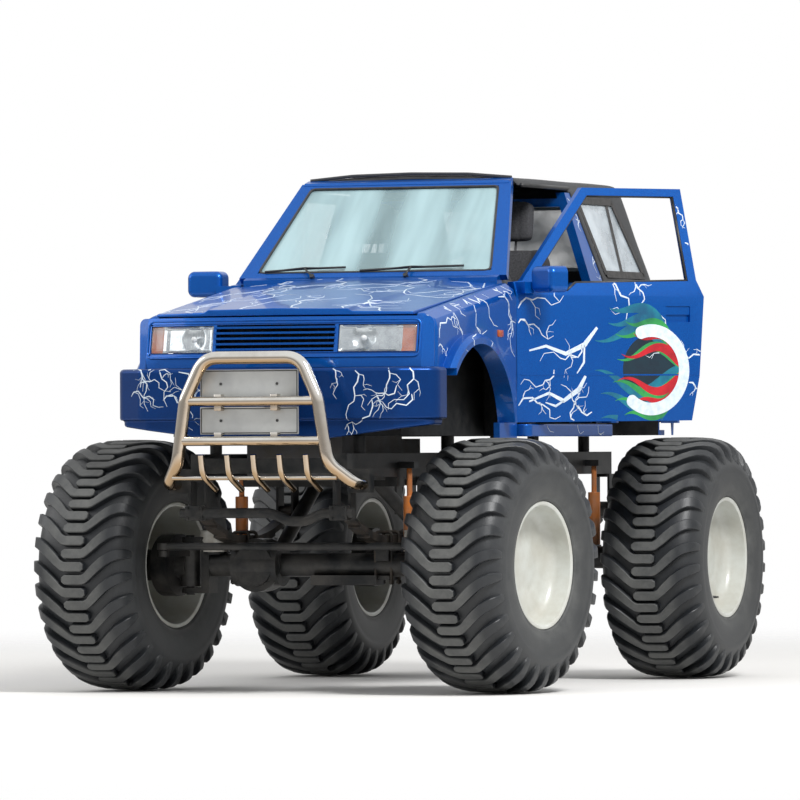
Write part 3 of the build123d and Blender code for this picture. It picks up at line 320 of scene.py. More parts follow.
def add_block(shape, centre, size, where=Matrix(), edge=0.003):
    """Adds a block with rounded edges to a bmesh."""
    block = bmesh.new()
    bmesh.ops.create_cube(block, size=1, matrix=Matrix.Diagonal((*size, 1)))
    offset = min(edge, min(size) * 0.45)
    bmesh.ops.bevel(block, geom=list(block.edges), offset=offset, segments=2, affect="EDGES", profile=0.5)
    bmesh.ops.transform(block, matrix=where @ Matrix.Translation(centre), verts=block.verts)
    copy = bpy.data.meshes.new("block")
    block.to_mesh(copy)
    block.free()
    shape.from_mesh(copy)
    bpy.data.meshes.remove(copy)


dry_mud = (0.30, 0.25, 0.19)
chassis_black = coated(
    "chassis_black", (0.008, 0.009, 0.01), (0.022, 0.023, 0.024), 9, 0.36,
    dust=(dry_mud, 0.3, 1.6, 0.10), gloss=0.22,
)
rounded("frame", chassis_black, slot="black")
spring_x = 0.36
tube_y, tube_z, dip_z = -0.58, 0.838, 0.80
dip = [(-0.43, tube_z), (0.02, tube_z), (0.11, dip_z), (0.19, dip_z), (0.28, tube_z), (0.43, tube_z)]
cross_tube = bmesh.new()
add_bar(cross_tube, [(x, tube_y, z) for x, z in dip], 0.0235, bend=0.12)
for side in (1, -1):
    add_block(cross_tube, on_car(side * spring_x, tube_y, tube_z), (0.088, 0.05, 0.07), edge=0.006)
    for x in (side * spring_x - 0.03, side * spring_x + 0.03):
        for z in (tube_z - 0.026, tube_z + 0.026):
            add_bar(cross_tube, [(x, tube_y - 0.025, z), (x, tube_y - 0.033, z)], 0.007, steps=6)
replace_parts(made("cross_tube_bar", cross_tube, "chassis", chassis_black, slot="black"), "cross_tube")

# Four leaf spring packs, a beam axle at each end with its offset differential, the knuckles with
# drums and arms, and the tie rod: forged and cast steel, black, greasy and dusty. A pale pleated
# rubber boot stands over each end of the front axle.
spring_black = coated(
    "spring_steel", (0.012, 0.012, 0.012), (0.045, 0.036, 0.03), 14, 0.45, metallic=0.3,
    dust=(dry_mud, 0.3, 1.4, 0.14), gloss=0.25,
)
cast_black = coated(
    "cast_axle", (0.008, 0.009, 0.01), (0.024, 0.025, 0.026), 7, 0.34, bump=0.4,
    dust=(dry_mud, 0.2, 1.1, 0.12), gloss=0.28,
)
rounded("leaf_springs", spring_black, 0.002, slot="black")
wheelbase = 2.45
u_bolts = bmesh.new()
legs = [(-0.04, 0.50), (-0.04, 0.744), (0.04, 0.744), (0.04, 0.50)]  # x from the spring, z
for axle_y in (0.0, wheelbase):
    for side in (1, -1):
        for y in (axle_y - 0.046, axle_y + 0.046):
            add_bar(u_bolts, [(side * spring_x + x, y, z) for x, z in legs], 0.008, bend=0.02, steps=10)
            for x in (side * spring_x - 0.04, side * spring_x + 0.04):
                add_bar(u_bolts, [(x, y, 0.52), (x, y, 0.504)], 0.014, steps=6)
made("u_bolts", u_bolts, "chassis", spring_black, slot="black")
for node in ("front_axle", "rear_axle", "knuckle_left", "knuckle_right", "tie_rod"):
    rounded(node, cast_black, 0.005, slot="black")


def turned(name, line, steps, closed=True, angle=180):
    """A mesh made by turning a line of points, each a distance along X and a radius, about X."""
    shape = bmesh.new()
    rings = []
    for x, radius in line:
        around = [2 * math.pi * i / steps for i in range(steps if radius else 1)]
        rings.append([shape.verts.new((x, radius * math.cos(a), radius * math.sin(a))) for a in around])
    for one, two in zip(rings, rings[1:] + (rings[:1] if closed else [])):
        for i in range(steps):
            j = i + 1
            corners = (one[i % len(one)], one[j % len(one)], two[j % len(two)], two[i % len(two)])
            kept = list(dict.fromkeys(corners))
            if len(kept) > 2:
                shape.faces.new(kept)
    bmesh.ops.recalc_face_normals(shape, faces=shape.faces)
    mark_sharp(shape, angle)
    return finished(name, shape)


sides = ((1, "left"), (-1, "right"))
boot_grey = coated(
    "boot_grey", (0.50, 0.50, 0.47), (0.34, 0.33, 0.30), 18, 0.6, dust=(dry_mud, 0.4, 0.9, 0.4)
)
pleats = [(0.652 + 0.011 * i, 0.0665 if i % 2 else 0.0632) for i in range(10)]  # height, radius
boot_line = [(0.65, 0.0)] + pleats + [(0.753, 0.058), (0.755, 0.0)]
boot_x, upright_turn = 0.515, Matrix.Rotation(math.radians(-90), 4, "Y")
for side, name in sides:
    upright_boot = Matrix.Translation(on_car(side * boot_x, 0, 0)) @ upright_turn
    boot = turned("boot", boot_line, 32, closed=False)
    placed(f"axle_boot_{name}", boot, upright_boot, "chassis", boot_grey, slot="black")

# Dampers: steel tubes painted orange, each pinned to the axle below and to a bracket of the frame
# above. Their lower ends are dusty.
damper_orange = coated(
    "damper_orange", (0.55, 0.16, 0.02), (0.38, 0.12, 0.03), 12, 0.4, dust=(dry_mud, 0.4, 1.4, 0.5)
)
rounded("dampers", damper_orange, 0.003, slot="orange")

# Rims: deep dished steel wheels in thick cream paint, with a rolled lip, a stepped centre and a black
# rubber valve. The hub is bored from the inner side for the spindle, and closed outside.
# The cream is mixed in patches with a darker brown, a little more towards the bottom of the wheel.
rim_cream = coated(
    "rim_cream", (0.52, 0.535, 0.50), (0.43, 0.43, 0.385), 5, 0.30, bump=0.05, coat=0.25,
    dust=((0.36, 0.31, 0.24), -0.9, 0.9, 0.30),
)
valve_rubber = coated("valve_rubber", (0.02, 0.02, 0.02), (0.04, 0.04, 0.04), 60, 0.6)
rim_line = [  # distance outboard of the wheel's middle, radius
    (0.212, 0.2745), (0.222, 0.2765), (0.227, 0.284), (0.2265, 0.294), (0.22, 0.2968),
    (0.2175, 0.2935), (0.217, 0.2845), (0.15, 0.2838), (0.0, 0.2838), (-0.15, 0.2838),
    (-0.217, 0.2845), (-0.2175, 0.2935), (-0.22, 0.2968), (-0.2265, 0.294), (-0.227, 0.284),
    (-0.222, 0.2765), (-0.205, 0.2745), (-0.02, 0.2745), (0.075, 0.2735), (0.086, 0.262),
    (0.093, 0.20), (0.0945, 0.12), (0.095, 0.092), (0.091, 0.0862), (0.025, 0.0862),
    (0.025, 0.0405), (0.095, 0.0405), (0.095, 0.0), (0.11, 0.0), (0.1115, 0.06), (0.111, 0.115),
    (0.1075, 0.13), (0.1075, 0.175), (0.1115, 0.19), (0.113, 0.225), (0.119, 0.248), (0.134, 0.266),
    (0.158, 0.2735),
]
steered = math.radians(-6.5)
wheel_radius = 0.59
pin_x, wheel_out = 0.637, 0.3005  # the steering axis, and the wheel's middle outboard of it
wheel_places = {}
for end, y, angle in (("front", 0.0, steered), ("rear", wheelbase, 0.0)):
    for side, name in sides:
        pivot = Matrix.Translation(on_car(side * pin_x, y, wheel_radius))
        spin = Matrix.Rotation(angle, 4, "Z") @ Matrix.Translation((side * wheel_out, 0, 0))
        wheel_places[f"{end}_{name}"] = (pivot @ spin, side)
valve_line = [
    (0.0, 0.011), (0.006, 0.011), (0.008, 0.007), (0.034, 0.006), (0.036, 0.0045), (0.046, 0.0045),
    (0.047, 0.0),
]
valve_turns = {"front_left": 3.9, "front_right": 1.2, "rear_left": 2.85, "rear_right": 1.2}  # radians
valve_x, valve_reach = 0.113, 0.205
for name, (where, side) in wheel_places.items():
    facing = where @ Matrix.Rotation(0 if side == 1 else math.pi, 4, "Z")
    dish = turned("rim", rim_line, 96, angle=40)
    rim = placed(f"rim_{name}_dish", dish, facing, f"wheel_{name}", rim_cream, slot="rim")
    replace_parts(rim, f"rim_{name}")
    up, along = math.cos(valve_turns[name]), math.sin(valve_turns[name])
    stem = facing @ Matrix.Translation((valve_x, valve_reach * along, valve_reach * up))
    valve = turned("valve", valve_line, 16, closed=False)
    placed(f"valve_{name}", valve, stem, f"wheel_{name}", valve_rubber, slot="tyre")

# Tyres: wide flotation tyres of black rubber, with thirty bent lugs a side that interlock along the
# middle and run over the shoulders. The sides bulge a little and are grey with dust.
tyre_rubber, tree, shader, place = painted("tyre_rubber")
parts = filled(tree.nodes.new("ShaderNodeSeparateXYZ"), {"Vector": place}).outputs
flat = filled(tree.nodes.new("ShaderNodeCombineXYZ"), {"Y": parts["Y"], "Z": parts["Z"]}).outputs["Vector"]
rings = tree.nodes.new("ShaderNodeValToRGB")
filled(rings, {"Fac": ranged(tree, length_of(tree, flat), 0.28, wheel_radius)})
ramp = rings.color_ramp
ramp.interpolation = "EASE"
dust_rings = (  # share of the way from bead to tread, dust
    (0.0, 0.75), (0.36, 0.34), (0.50, 0.30), (0.80, 0.06), (0.955, 0.05), (1.0, 1.0),
)
for stop, _ in dust_rings[1:-1]:
    ramp.elements.new(stop)
for mark, (_, amount) in zip(ramp.elements, dust_rings):
    mark.color = (amount, amount, amount, 1)
uneven = ranged(tree, noise(tree, place, 11, 8, 0.7), 0.30, 0.70, 0.35, 1.15)
amount = combined(tree, "MULTIPLY", rings.outputs["Color"], uneven)
filled(shader, {
    "Base Color": mixed(tree, amount, (0.009, 0.011, 0.014, 1), (0.11, 0.112, 0.108, 1)),
    "Roughness": ranged(tree, amount, 0.0, 1.0, 0.42, 0.80),
})
add_relief(tree, shader, noise(tree, place, 160, 4), 0.35)

lugs_a_side = 30
crown = [  # distance along the crown from the middle, top x and radius, groove x and radius
    (0.0, 0.0, 0.5893, 0.0, 0.558), (0.08, 0.08, 0.5885, 0.079, 0.557),
    (0.14, 0.139, 0.5845, 0.136, 0.553), (0.185, 0.183, 0.576, 0.176, 0.545),
    (0.22, 0.215, 0.561, 0.204, 0.531), (0.25, 0.236, 0.538, 0.222, 0.512),
    (0.28, 0.248, 0.511, 0.237, 0.49), (0.305, 0.2535, 0.487, 0.2475, 0.471),
    (0.325, 0.256, 0.466, 0.2535, 0.458),
]
side_line = [
    (0.2555, 0.445), (0.2572, 0.432), (0.256, 0.428), (0.2562, 0.41), (0.2545, 0.38), (0.25, 0.352),
    (0.2425, 0.328), (0.235, 0.314), (0.2345, 0.306), (0.23, 0.3005), (0.2285, 0.298), (0.2172, 0.2976),
    (0.2165, 0.285),
]


def crown_at(distance):
    """Top x, top radius, groove x and groove radius at a distance along the crown."""
    way, sign = abs(distance), math.copysign(1, distance)
    low, high = next(pair for pair in zip(crown, crown[1:]) if way <= pair[1][0])
    part = (way - low[0]) / (high[0] - low[0])
    top_x, top_r, low_x, low_r = (a + (b - a) * part for a, b in zip(low[1:], high[1:]))
    return top_x * sign, top_r, low_x * sign, low_r


lug_route = [  # distance along the crown, shift round the tyre, half width, share of full height
    (-0.058, 0.0, 0.012, 1.0), (-0.044, 0.0, 0.0225, 1.0), (0.0, 0.0, 0.0225, 1.0),
    (0.046, 0.0, 0.0225, 1.0), (0.066, 0.008, 0.025, 1.0), (0.10, 0.038, 0.03, 1.0),
    (0.14, 0.072, 0.031, 1.0), (0.175, 0.098, 0.03, 1.0), (0.205, 0.114, 0.0285, 1.0),
    (0.235, 0.124, 0.027, 1.0), (0.262, 0.129, 0.025, 0.95), (0.288, 0.131, 0.0225, 0.80),
    (0.306, 0.131, 0.019, 0.55), (0.318, 0.131, 0.013, 0.25),
]
chamfer = 0.0035
lug_section = (  # side of the lug, share of the way down it, what its half width gains
    (-1, 1.12, 0.004), (-1, 0.12, 0.0), (-1, 0.0, -chamfer),
    (1, 0.0, -chamfer), (1, 0.12, 0.0), (1, 1.12, 0.004),
)


def on_tyre(x, radius, arc):
    """A point at x and a radius, shifted round the tyre by an arc at tread radius."""
    angle = arc / wheel_radius
    return Vector((x, -radius * math.sin(angle), radius * math.cos(angle)))


half_line = [(low_x, low_r) for _, _, _, low_x, low_r in crown] + side_line
bore = [(0.15, 0.2842), (-0.15, 0.2842)]
carcass = turned("carcass", [(-x, r) for x, r in reversed(half_line[1:])] + half_line + bore, 120)
tread = bmesh.new()
tread.from_mesh(carcass)
pitch = 2 * math.pi * wheel_radius / lugs_a_side
for side in (1, -1):
    for count in range(lugs_a_side):
        start = pitch * (count + (0 if side == 1 else 0.5))
        lug = []
        for way, shift, half_width, height in lug_route:
            top_x, top_r, low_x, low_r = crown_at(way)
            top_x, top_r = low_x + (top_x - low_x) * height, low_r + (top_r - low_r) * height
            lug.append([])
            for across, down, wider in lug_section:
                x, radius = top_x + (low_x - top_x) * down, top_r + (low_r - top_r) * down
                arc = start - shift + across * (half_width + wider)
                lug[-1].append(tread.verts.new(on_tyre(side * x, radius, arc)))
        add_skin(tread, lug, closed=False)
bmesh.ops.recalc_face_normals(tread, faces=tread.faces)
mark_sharp(tread, 30)
tyre_mesh = finished("tyre", tread)
tyre_mesh.materials.append(tyre_rubber)
for name, (where, _) in wheel_places.items():
    tyre = placed(f"tyre_{name}_rubber", tyre_mesh, where, f"wheel_{name}", slot="tyre")
    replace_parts(tyre, f"tyre_{name}")

# Engine, gearbox and transfer box in grey cast metal, black propeller shafts and tank, and a
# silencer of dull steel on the left rail.
cast_metal = coated(
    "cast_metal", (0.10, 0.10, 0.105), (0.05, 0.05, 0.05), 8, 0.5, metallic=0.5, bump=0.5,
    dust=(dry_mud, 0.6, 1.7, 0.3),
)
pipe_steel = coated(
    "pipe_steel", (0.50, 0.48, 0.45), (0.28, 0.24, 0.20), 10, 0.32, metallic=0.9, bump=0.1
)
rounded("engine", cast_metal, 0.012, slot="cast")
for node in ("propshafts", "fuel_tank"):
    rounded(node, chassis_black, 0.004, slot="black")
rounded("exhaust", pipe_steel, 0.006, slot="silver")


# Body panels: pressed steel in metallic blue with a clear coat. The paint has fine flakes, a slight
# ripple, and a little road dust low down. The same paint covers bumpers, steps and mirrors, but the
# front bumper has a darker copy of it with less clear coat, a painted shade for the dim light there.
def car_paint(name, dark, light, coat):
    """Metallic paint of two shades of flake, under a clear coat."""
    paint, tree, shader, place = painted(name)
    flakes = filled(tree.nodes.new("ShaderNodeTexVoronoi"), {"Vector": place, "Scale": 900})
    split = filled(tree.nodes.new("ShaderNodeSeparateColor"), {"Color": flakes.outputs["Color"]})
    flaked = mixed(tree, split.outputs["Red"], (*dark, 1), (*light, 1))
    haze = noise(tree, place, 3.5, 7)
    low_down = ranged(tree, height_of(tree, place), 1.15, 1.75, 0.06, 0.0)
    filled(shader, {
        "Base Color": mixed(tree, combined(tree, "MULTIPLY", low_down, haze), flaked, (0.25, 0.24, 0.22, 1)),
        "Roughness": ranged(tree, haze, 0.0, 1.0, 0.24, 0.42), "Metallic": 0.55, "Specular IOR Level": 0.1,
        "Coat Weight": coat, "Coat Roughness": 0.04,
    })
    add_relief(tree, shader, haze, 0.10, 0.004)
    return paint


body_blue = car_paint("metallic_blue", (0.0, 0.052, 0.27), (0.0, 0.115, 0.48), 0.45)
# The front bumper's paint is the body blue darkened: painted shade.
shaded_bumper_blue = car_paint("shaded_bumper_blue", (0.0, 0.02, 0.11), (0.0, 0.045, 0.21), 0.15)
edge_radii = {"front_bumper": 0.013, "rear_bumper": 0.013, "hood": 0.01}
panels = {}
for node in (
    "tub", "wing_left", "wing_right", "quarter_left", "quarter_right", "hood", "nose_panel", "tailgate",
    "windscreen_frame", "roll_hoop", "door_left", "door_right", "front_bumper", "rear_bumper", "side_steps",
):
    # The front bumper takes the darkened blue, its painted shade.
    paint = shaded_bumper_blue if node == "front_bumper" else body_blue
    merge = node != "windscreen_frame"
    panels[node] = rounded(node, paint, edge_radii.get(node, 0.006), segments=3, merge=merge, slot="blue")
wing_front, nose_top, nose_side = -0.333, 1.742, 0.738
nose_corner, nose_bend = 0.6885, 0.70  # where the ends of the nose begin, and where they turn back
for vert in panels["nose_panel"].data.vertices:  # the ends lean back at the top, as the middle does
    x, y = abs(vert.co.x + middle_x), vert.co.y + middle_y
    if x > nose_corner and y < -0.345 and vert.co.z > nose_top - 0.001:
        vert.co.y = (-0.3555 if x < nose_bend else -0.3425) - middle_y


def wing_rim(edge, ends):
    """Whether an edge is on the outer rim of a wing's front end."""
    if any(abs(end.y + middle_y - wing_front) > 0.001 for end in ends):
        return False
    ahead = [face.normal for face in edge.link_faces if face.normal.y > -0.5]
    return bool(ahead) and ahead[0].x * math.copysign(1, ends[0].x + middle_x) + ahead[0].z > 0.6


def nose_shoulder(edge, ends):
    """Whether an edge is the short upper one at an end of the nose panel."""
    return all(abs(end.x + middle_x) > nose_side - 0.001 and end.z > nose_top - 0.001 for end in ends)


for name, reach, chosen in (
    ("wing_left", 0.022, wing_rim), ("wing_right", 0.022, wing_rim), ("nose_panel", 0.032, nose_shoulder),
):
    mesh = panels[name].data
    shape = bmesh.new()
    shape.from_mesh(mesh)
    rim = [edge for edge in shape.edges if chosen(edge, [vert.co for vert in edge.verts])]
    bmesh.ops.bevel(
        shape, geom=rim, offset=reach, segments=6, affect="EDGES", profile=0.5, clamp_overlap=False
    )
    shape.to_mesh(mesh)
    shape.free()
    mesh.polygons.foreach_set("use_smooth", [True] * len(mesh.polygons))
underbody = coated(
    "underbody_black", (0.007, 0.008, 0.009), (0.02, 0.02, 0.02), 14, 0.7, bump=0.5, gloss=0.2
)
for name in ("tub", "wing_left", "wing_right", "quarter_left", "quarter_right"):
    mesh = panels[name].data
    mesh.materials.append(underbody)
    for face in mesh.polygons:
        x, y = face.center.x + middle_x, face.center.y + middle_y
        outward = face.normal.x * math.copysign(1, x)
        shown = outward > -0.3
        if name == "tub":  # only its outer sides and its rear panel are painted
            shown = (abs(x) > 0.66 and outward > 0.5) or (y > 2.80 and face.normal.y > 0.5)
        face.material_index = 0 if shown else 1
step_rubber = coated("step_rubber", (0.015, 0.015, 0.016), (0.04, 0.038, 0.035), 30, 0.7, bump=0.4)
tread_x, tread_gap, tread_y, tread_z = 0.716, 0.016, 1.275, 1.2445
treads = bmesh.new()
for side in (1, -1):
    for x in [tread_x + tread_gap * count for count in range(5)]:
        add_block(treads, on_car(side * x, tread_y, tread_z), (0.008, 1.04, 0.005), edge=0.002)
made("step_treads", treads, "chassis", step_rubber, slot="trim")


# Glass: the raked windscreen has a pale film in streaks, partly dust and partly a painted reflection
# of the sky, and the right door's pane is clearer. The soft top's panes are clear vinyl, a little creased.
def clear_sheet(name, tint, haze, roughness, scale, stretch=(1, 1, 1)):
    """A see-through material whose haze is thicker in soft patches, or streaks where it is stretched."""
    material, tree, shader, place = painted(name)
    stretched = {"Vector": place, "Rotation": (0, 0.3, 0), "Scale": stretch}
    streaks = filled(tree.nodes.new("ShaderNodeMapping"), stretched).outputs["Vector"]
    filled(shader, {
        "Base Color": (*tint, 1), "Roughness": roughness, "Coat Weight": 1.0, "Coat Roughness": 0.02,
        "Alpha": ranged(tree, noise(tree, streaks, scale, 3), 0.35, 0.65, *haze),
    })
    return material


drawn_out = (2.6, 0.5, 0.35)
# The windscreen's pale tint and cover stand for dust and a painted reflection of the sky.
screen_glass = clear_sheet("screen_glass", (0.38, 0.55, 0.58), (0.30, 0.88), 0.05, 1.7, drawn_out)
door_pane = clear_sheet("door_pane", (0.50, 0.58, 0.58), (0.22, 0.34), 0.04, 2.0)
clear_vinyl = clear_sheet("clear_vinyl", (0.62, 0.70, 0.76), (0.35, 0.72), 0.12, 6.0)
rounded("windscreen", screen_glass, 0.002, slot="glass")
rounded("door_glass_right", door_pane, 0.001, slot="glass")

# Headlamps: chromed housings with a round bowl and bulb under a clear fluted lens that follows the
# nose's curve, and an amber turn light in the outer corner. A painted bead runs round the lamps and
# the grille, and a dark radiator core stands behind the grille.
chrome = coated("bright_chrome", (0.56, 0.60, 0.62), (0.40, 0.43, 0.46), 30, 0.14, metallic=1.0, bump=0.1)
lens_clear = clear_sheet("lamp_lens", (0.50, 0.55, 0.58), (0.16, 0.30), 0.08, 14.0)
amber = coated("amber_lens", (0.42, 0.085, 0.006), (0.30, 0.05, 0.005), 24, 0.14, coat=0.5, bump=0.05)
bulb_white = coated("bulb_white", (0.85, 0.86, 0.84), (0.70, 0.72, 0.74), 30, 0.2, coat=0.6)
nose_axis, nose_face, nose_lean, lean_low = 1.47, -0.513, 0.033, 1.56


def nose_y(x, z):
    """The y of the nose panel's outer skin."""
    face = nose_face + nose_lean * min(max((z - lean_low) / (nose_top - lean_low), 0), 1)
    return nose_axis - math.sqrt((nose_axis - face) ** 2 - x * x)


lamp_inner, lamp_outer, lamp_low, lamp_top = 0.312, 0.666, 1.577, 1.704
bowl_x, bowl_z, bowl_radius = 0.425, 1.641, 0.06
turn_light_x, amber_x = 0.575, 0.60  # where the flat field begins, and where the amber does
housing_grid, lens_grid = (48, 20), (96, 8)  # columns, rows


def add_lamp_sheet(shape, side, grid, inset, depth_at):
    """Adds a sheet over a lamp opening, set back from the nose's face by a depth."""
    columns, rows = grid
    sheet = []
    for i in range(columns + 1):
        x = lamp_inner + inset + (lamp_outer - lamp_inner - 2 * inset) * i / columns
        sheet.append([])
        for j in range(rows + 1):
            z = lamp_low + inset + (lamp_top - lamp_low - 2 * inset) * j / rows
            depth = depth_at(x, z, min(i, columns - i), min(j, rows - j), i)
            sheet[-1].append(shape.verts.new(on_car(side * x, nose_y(x, z) + depth, z)))
    add_skin(shape, sheet, closed=False, capped=False)


def housing_depth(x, z, columns_in, rows_in, column):
    """Shallow at the rim, with a round bowl about the bulb and a flat field for the turn light."""
    rim = min(min(columns_in, rows_in * 1.4) / 2.5, 1.0)
    if x > turn_light_x:
        return 0.012 + 0.008 * rim
    near = math.hypot(x - bowl_x, z - bowl_z) / bowl_radius
    return 0.012 + 0.012 * rim + 0.02 * max(1 - near * near, 0)


def lens_depth(x, z, columns_in, rows_in, column):
    """Set in along the edge, and fluted inside it."""
    return -0.0015 * abs(math.sin(math.pi * column / 4)) if columns_in and rows_in else 0.006


bulb_line = [(0.0, 0.0), (0.003, 0.01), (0.012, 0.014), (0.026, 0.012), (0.034, 0.0)]
for side, name in sides:
    housing = bmesh.new()
    add_lamp_sheet(housing, side, housing_grid, 0.003, housing_depth)
    for face in housing.faces:
        face.material_index = int(abs(face.calc_center_median().x + middle_x) > amber_x)
    bulb = turned("bulb", bulb_line, 20, closed=False)
    bulb_place = Matrix.Translation(on_car(side * bowl_x, nose_y(bowl_x, bowl_z) + 0.006, bowl_z))
    ahead = bulb_place @ Matrix.Rotation(math.pi / 2, 4, "Z")
    placed(f"bulb_{name}", bulb, ahead, "chassis", bulb_white, slot="lamp")
    made(f"lamp_housing_{name}", housing, "chassis", chrome, amber, angle=50, slot="polished")
lenses = bmesh.new()
for side in (1, -1):
    add_lamp_sheet(lenses, side, lens_grid, 0.002, lens_depth)
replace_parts(made("lamp_lenses", lenses, "chassis", lens_clear, slot="lamp"), "headlamps")
bead_x, bead_low, bead_top = 0.682, 1.556, 1.727
bead_line = [(0.14 * i, bead_top) for i in range(5)] + [(bead_x, bead_top), (bead_x, bead_low)]
bead_line += [(0.14 * i, bead_low) for i in range(4, -1, -1)]
bead_line += [(-x, z) for x, z in bead_line[-2::-1]]
bead = bmesh.new()
add_bar(bead, [(x, nose_y(x, z), z) for x, z in bead_line], 0.0055, bend=0.035, steps=12)
made("nose_bead", bead, "chassis", body_blue, slot="blue")
fin_y, post_y, core_low, core_side, core_height = -0.412, -0.408, 1.524, 0.288, 0.204
core = bmesh.new()
for z in [core_low + core_height * row / 30 for row in range(30)]:
    add_block(core, on_car(0, fin_y, z), (0.59, 0.018, 0.0035), edge=0.001)
for x in [core_side * (column - 6) / 6 for column in range(13)]:
    add_block(core, on_car(x, post_y, 1.62), (0.006, 0.02, core_height), edge=0.001)
made("radiator_core", core, "chassis", chassis_black, slot="black")

# Bull bar: a bent hoop of polished stainless tube with two cross tubes, a thin low rail and five
# hooked prongs, all welded. Where it faces down its colour turns tan, a painted reflection of the ground.
polished_tube = coated(
    "polished_tube", (0.70, 0.69, 0.65), (0.57, 0.55, 0.51), 5, 0.09, metallic=1.0, bump=0.02
)
tree = polished_tube.node_tree
shader = tree.nodes["Principled BSDF"]
# Faces that look down are painted tan, a painted reflection of the ground below.
facing = tree.nodes.new("ShaderNodeNewGeometry").outputs["Normal"]
ground_reflection_share = ranged(tree, height_of(tree, facing), 0.30, -0.45)
steel = shader.inputs["Base Color"].links[0].from_socket
filled(shader, {"Base Color": mixed(tree, ground_reflection_share, steel, (0.42, 0.29, 0.17, 1))})
bar = bmesh.new()
hoop = [
    (0.465, -0.56, 0.972), (0.465, -0.65, 0.972), (0.372, -0.752, 1.07), (0.33, -0.76, 1.36),
    (0.24, -0.75, 1.552),
]
add_bar(bar, hoop + [(-x, y, z) for x, y, z in reversed(hoop)], 0.03, bend=0.11, steps=24)
for half, y, z, radius, steps in (  # the two cross tubes and the low rail
    (0.331, -0.758, 1.353, 0.022, 20), (0.359, -0.758, 1.17, 0.022, 20), (0.408, -0.728, 1.00, 0.01, 12),
):
    add_bar(bar, [(-half, y, z), (half, y, z)], radius, steps=steps)
bracket_places = (-0.17, 0.11)
for x in bracket_places:
    for z, height in ((1.347, 0.076), (1.19, 0.04)):
        add_block(bar, on_car(x, -0.737, z), (0.036, 0.042, height))
first_prong, prong_gap = -0.24, 0.13
for x in [first_prong + prong_gap * count for count in range(5)]:
    add_bar(bar, [(x, -0.79, 1.107), (x, -0.768, 1.01), (x + 0.01, -0.64, 0.946)], 0.015, bend=0.09)
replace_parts(made("bull_bar_tubes", bar, "chassis", polished_tube, slot="polished"), "bull_bar")

# Two blank plates of pressed aluminium with a raised rim, each held by two screws on the brackets of
# the bull bar.
plate_metal = coated("plate_metal", (0.56, 0.57, 0.56), (0.47, 0.48, 0.48), 7, 0.34, metallic=0.2, bump=0.08)
plate_edge = coated("plate_edge", (0.03, 0.03, 0.03), (0.06, 0.06, 0.06), 20, 0.5)
plate_middle, plate_width, plate_y, hem = -0.03, 0.49, -0.712, 0.007
plate_heights = ((1.366, 1.498), (1.20, 1.326))
plates = bmesh.new()
for low, high in plate_heights:
    plate_size = (plate_width, 0.006, high - low)
    add_block(plates, on_car(plate_middle, plate_y, (low + high) / 2), plate_size, edge=0.002)
plate_faces = len(plates.faces)  # the faces after these belong to rims and screws
for low, high in plate_heights:
    left, right = plate_middle - plate_width / 2 + hem, plate_middle + plate_width / 2 - hem
    corners = [(left, low + hem), (right, low + hem), (right, high - hem), (left, high - hem)]
    for start, end in zip(corners, corners[1:] + corners[:1]):
        add_bar(plates, [(x, plate_y - 0.0035, z) for x, z in (start, end)], 0.0022, steps=8)
    for x in bracket_places:
        middle = (low + high) / 2
        add_bar(plates, [(x, plate_y, middle), (x, plate_y - 0.007, middle)], 0.007, steps=6)
plates.faces.ensure_lookup_table()
for face in plates.faces[plate_faces:]:
    face.material_index = 1
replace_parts(made("plates_pressed", plates, "chassis", plate_metal, plate_edge, slot="white"), "blank_plates")

# Tail lamps in the rear corners: red and amber fields of ribbed plastic. A grip is screwed to the
# tailgate, and amber side markers sit low on the wings, near the doors.
lamp_red = coated("red_lens", (0.45, 0.01, 0.01), (0.30, 0.008, 0.008), 20, 0.15, coat=1.0, bump=0.1)
tails = bmesh.new()
fields = ((1.50, 1.59, 0), (1.592, 1.662, 1), (1.664, 1.74, 0))  # low z, high z, red or amber
for side in (1, -1):
    for low, high, kind in fields:
        before = len(tails.faces)
        middle = (low + high) / 2
        add_block(tails, on_car(side * 0.655, 2.882, middle), (0.08, 0.024, high - low), edge=0.004)
        for x in [0.629 + 0.013 * rib for rib in range(5)]:
            rib_size = (0.004, 0.003, high - low - 0.012)
            add_block(tails, on_car(side * x, 2.8935, middle), rib_size, edge=0.001)
        tails.faces.ensure_lookup_table()
        for face in tails.faces[before:]:
            face.material_index = kind
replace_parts(made("tail_lamp_lenses", tails, "chassis", lamp_red, amber, slot="red_lens"), "tail_lamps")
gate_face = max(vert.co.y for vert in frame["nodes"]["tailgate"].data.vertices)
grip_middle = Vector((0.47 - middle_x, gate_face, 1.64))
gate_grip = bmesh.new()
add_block(gate_grip, grip_middle, (0.15, 0.012, 0.06), edge=0.004)
add_block(gate_grip, grip_middle + Vector((0, 0.009, 0.006)), (0.12, 0.016, 0.02), edge=0.006)
made("tailgate_grip", gate_grip, "tailgate_body", step_rubber, slot="trim")
markers = bmesh.new()
for side in (1, -1):
    add_block(markers, on_car(side * 0.7455, 0.47, 1.668), (0.016, 0.07, 0.034), edge=0.006)
made("side_markers", markers, "chassis", amber, slot="lamp")

# Wipers: two black arms with long blades, parked along the foot of the windscreen. A black rubber
# gasket holds the glass all round.
wiper_black = coated("wiper_black", (0.012, 0.012, 0.013), (0.03, 0.03, 0.03), 25, 0.45)
rake = math.radians(45.8)
screen_foot = Vector((0, 0.727, 1.963))
screen_up = Vector((0, math.cos(rake), math.sin(rake)))
screen_out = Vector((0, -math.sin(rake), math.cos(rake)))


def on_screen(x, up, out):
    """A point on the windscreen: x, the distance up it, and the distance off the glass."""
    point = screen_foot + screen_up * up + screen_out * out
    return on_car(x, point.y, point.z)


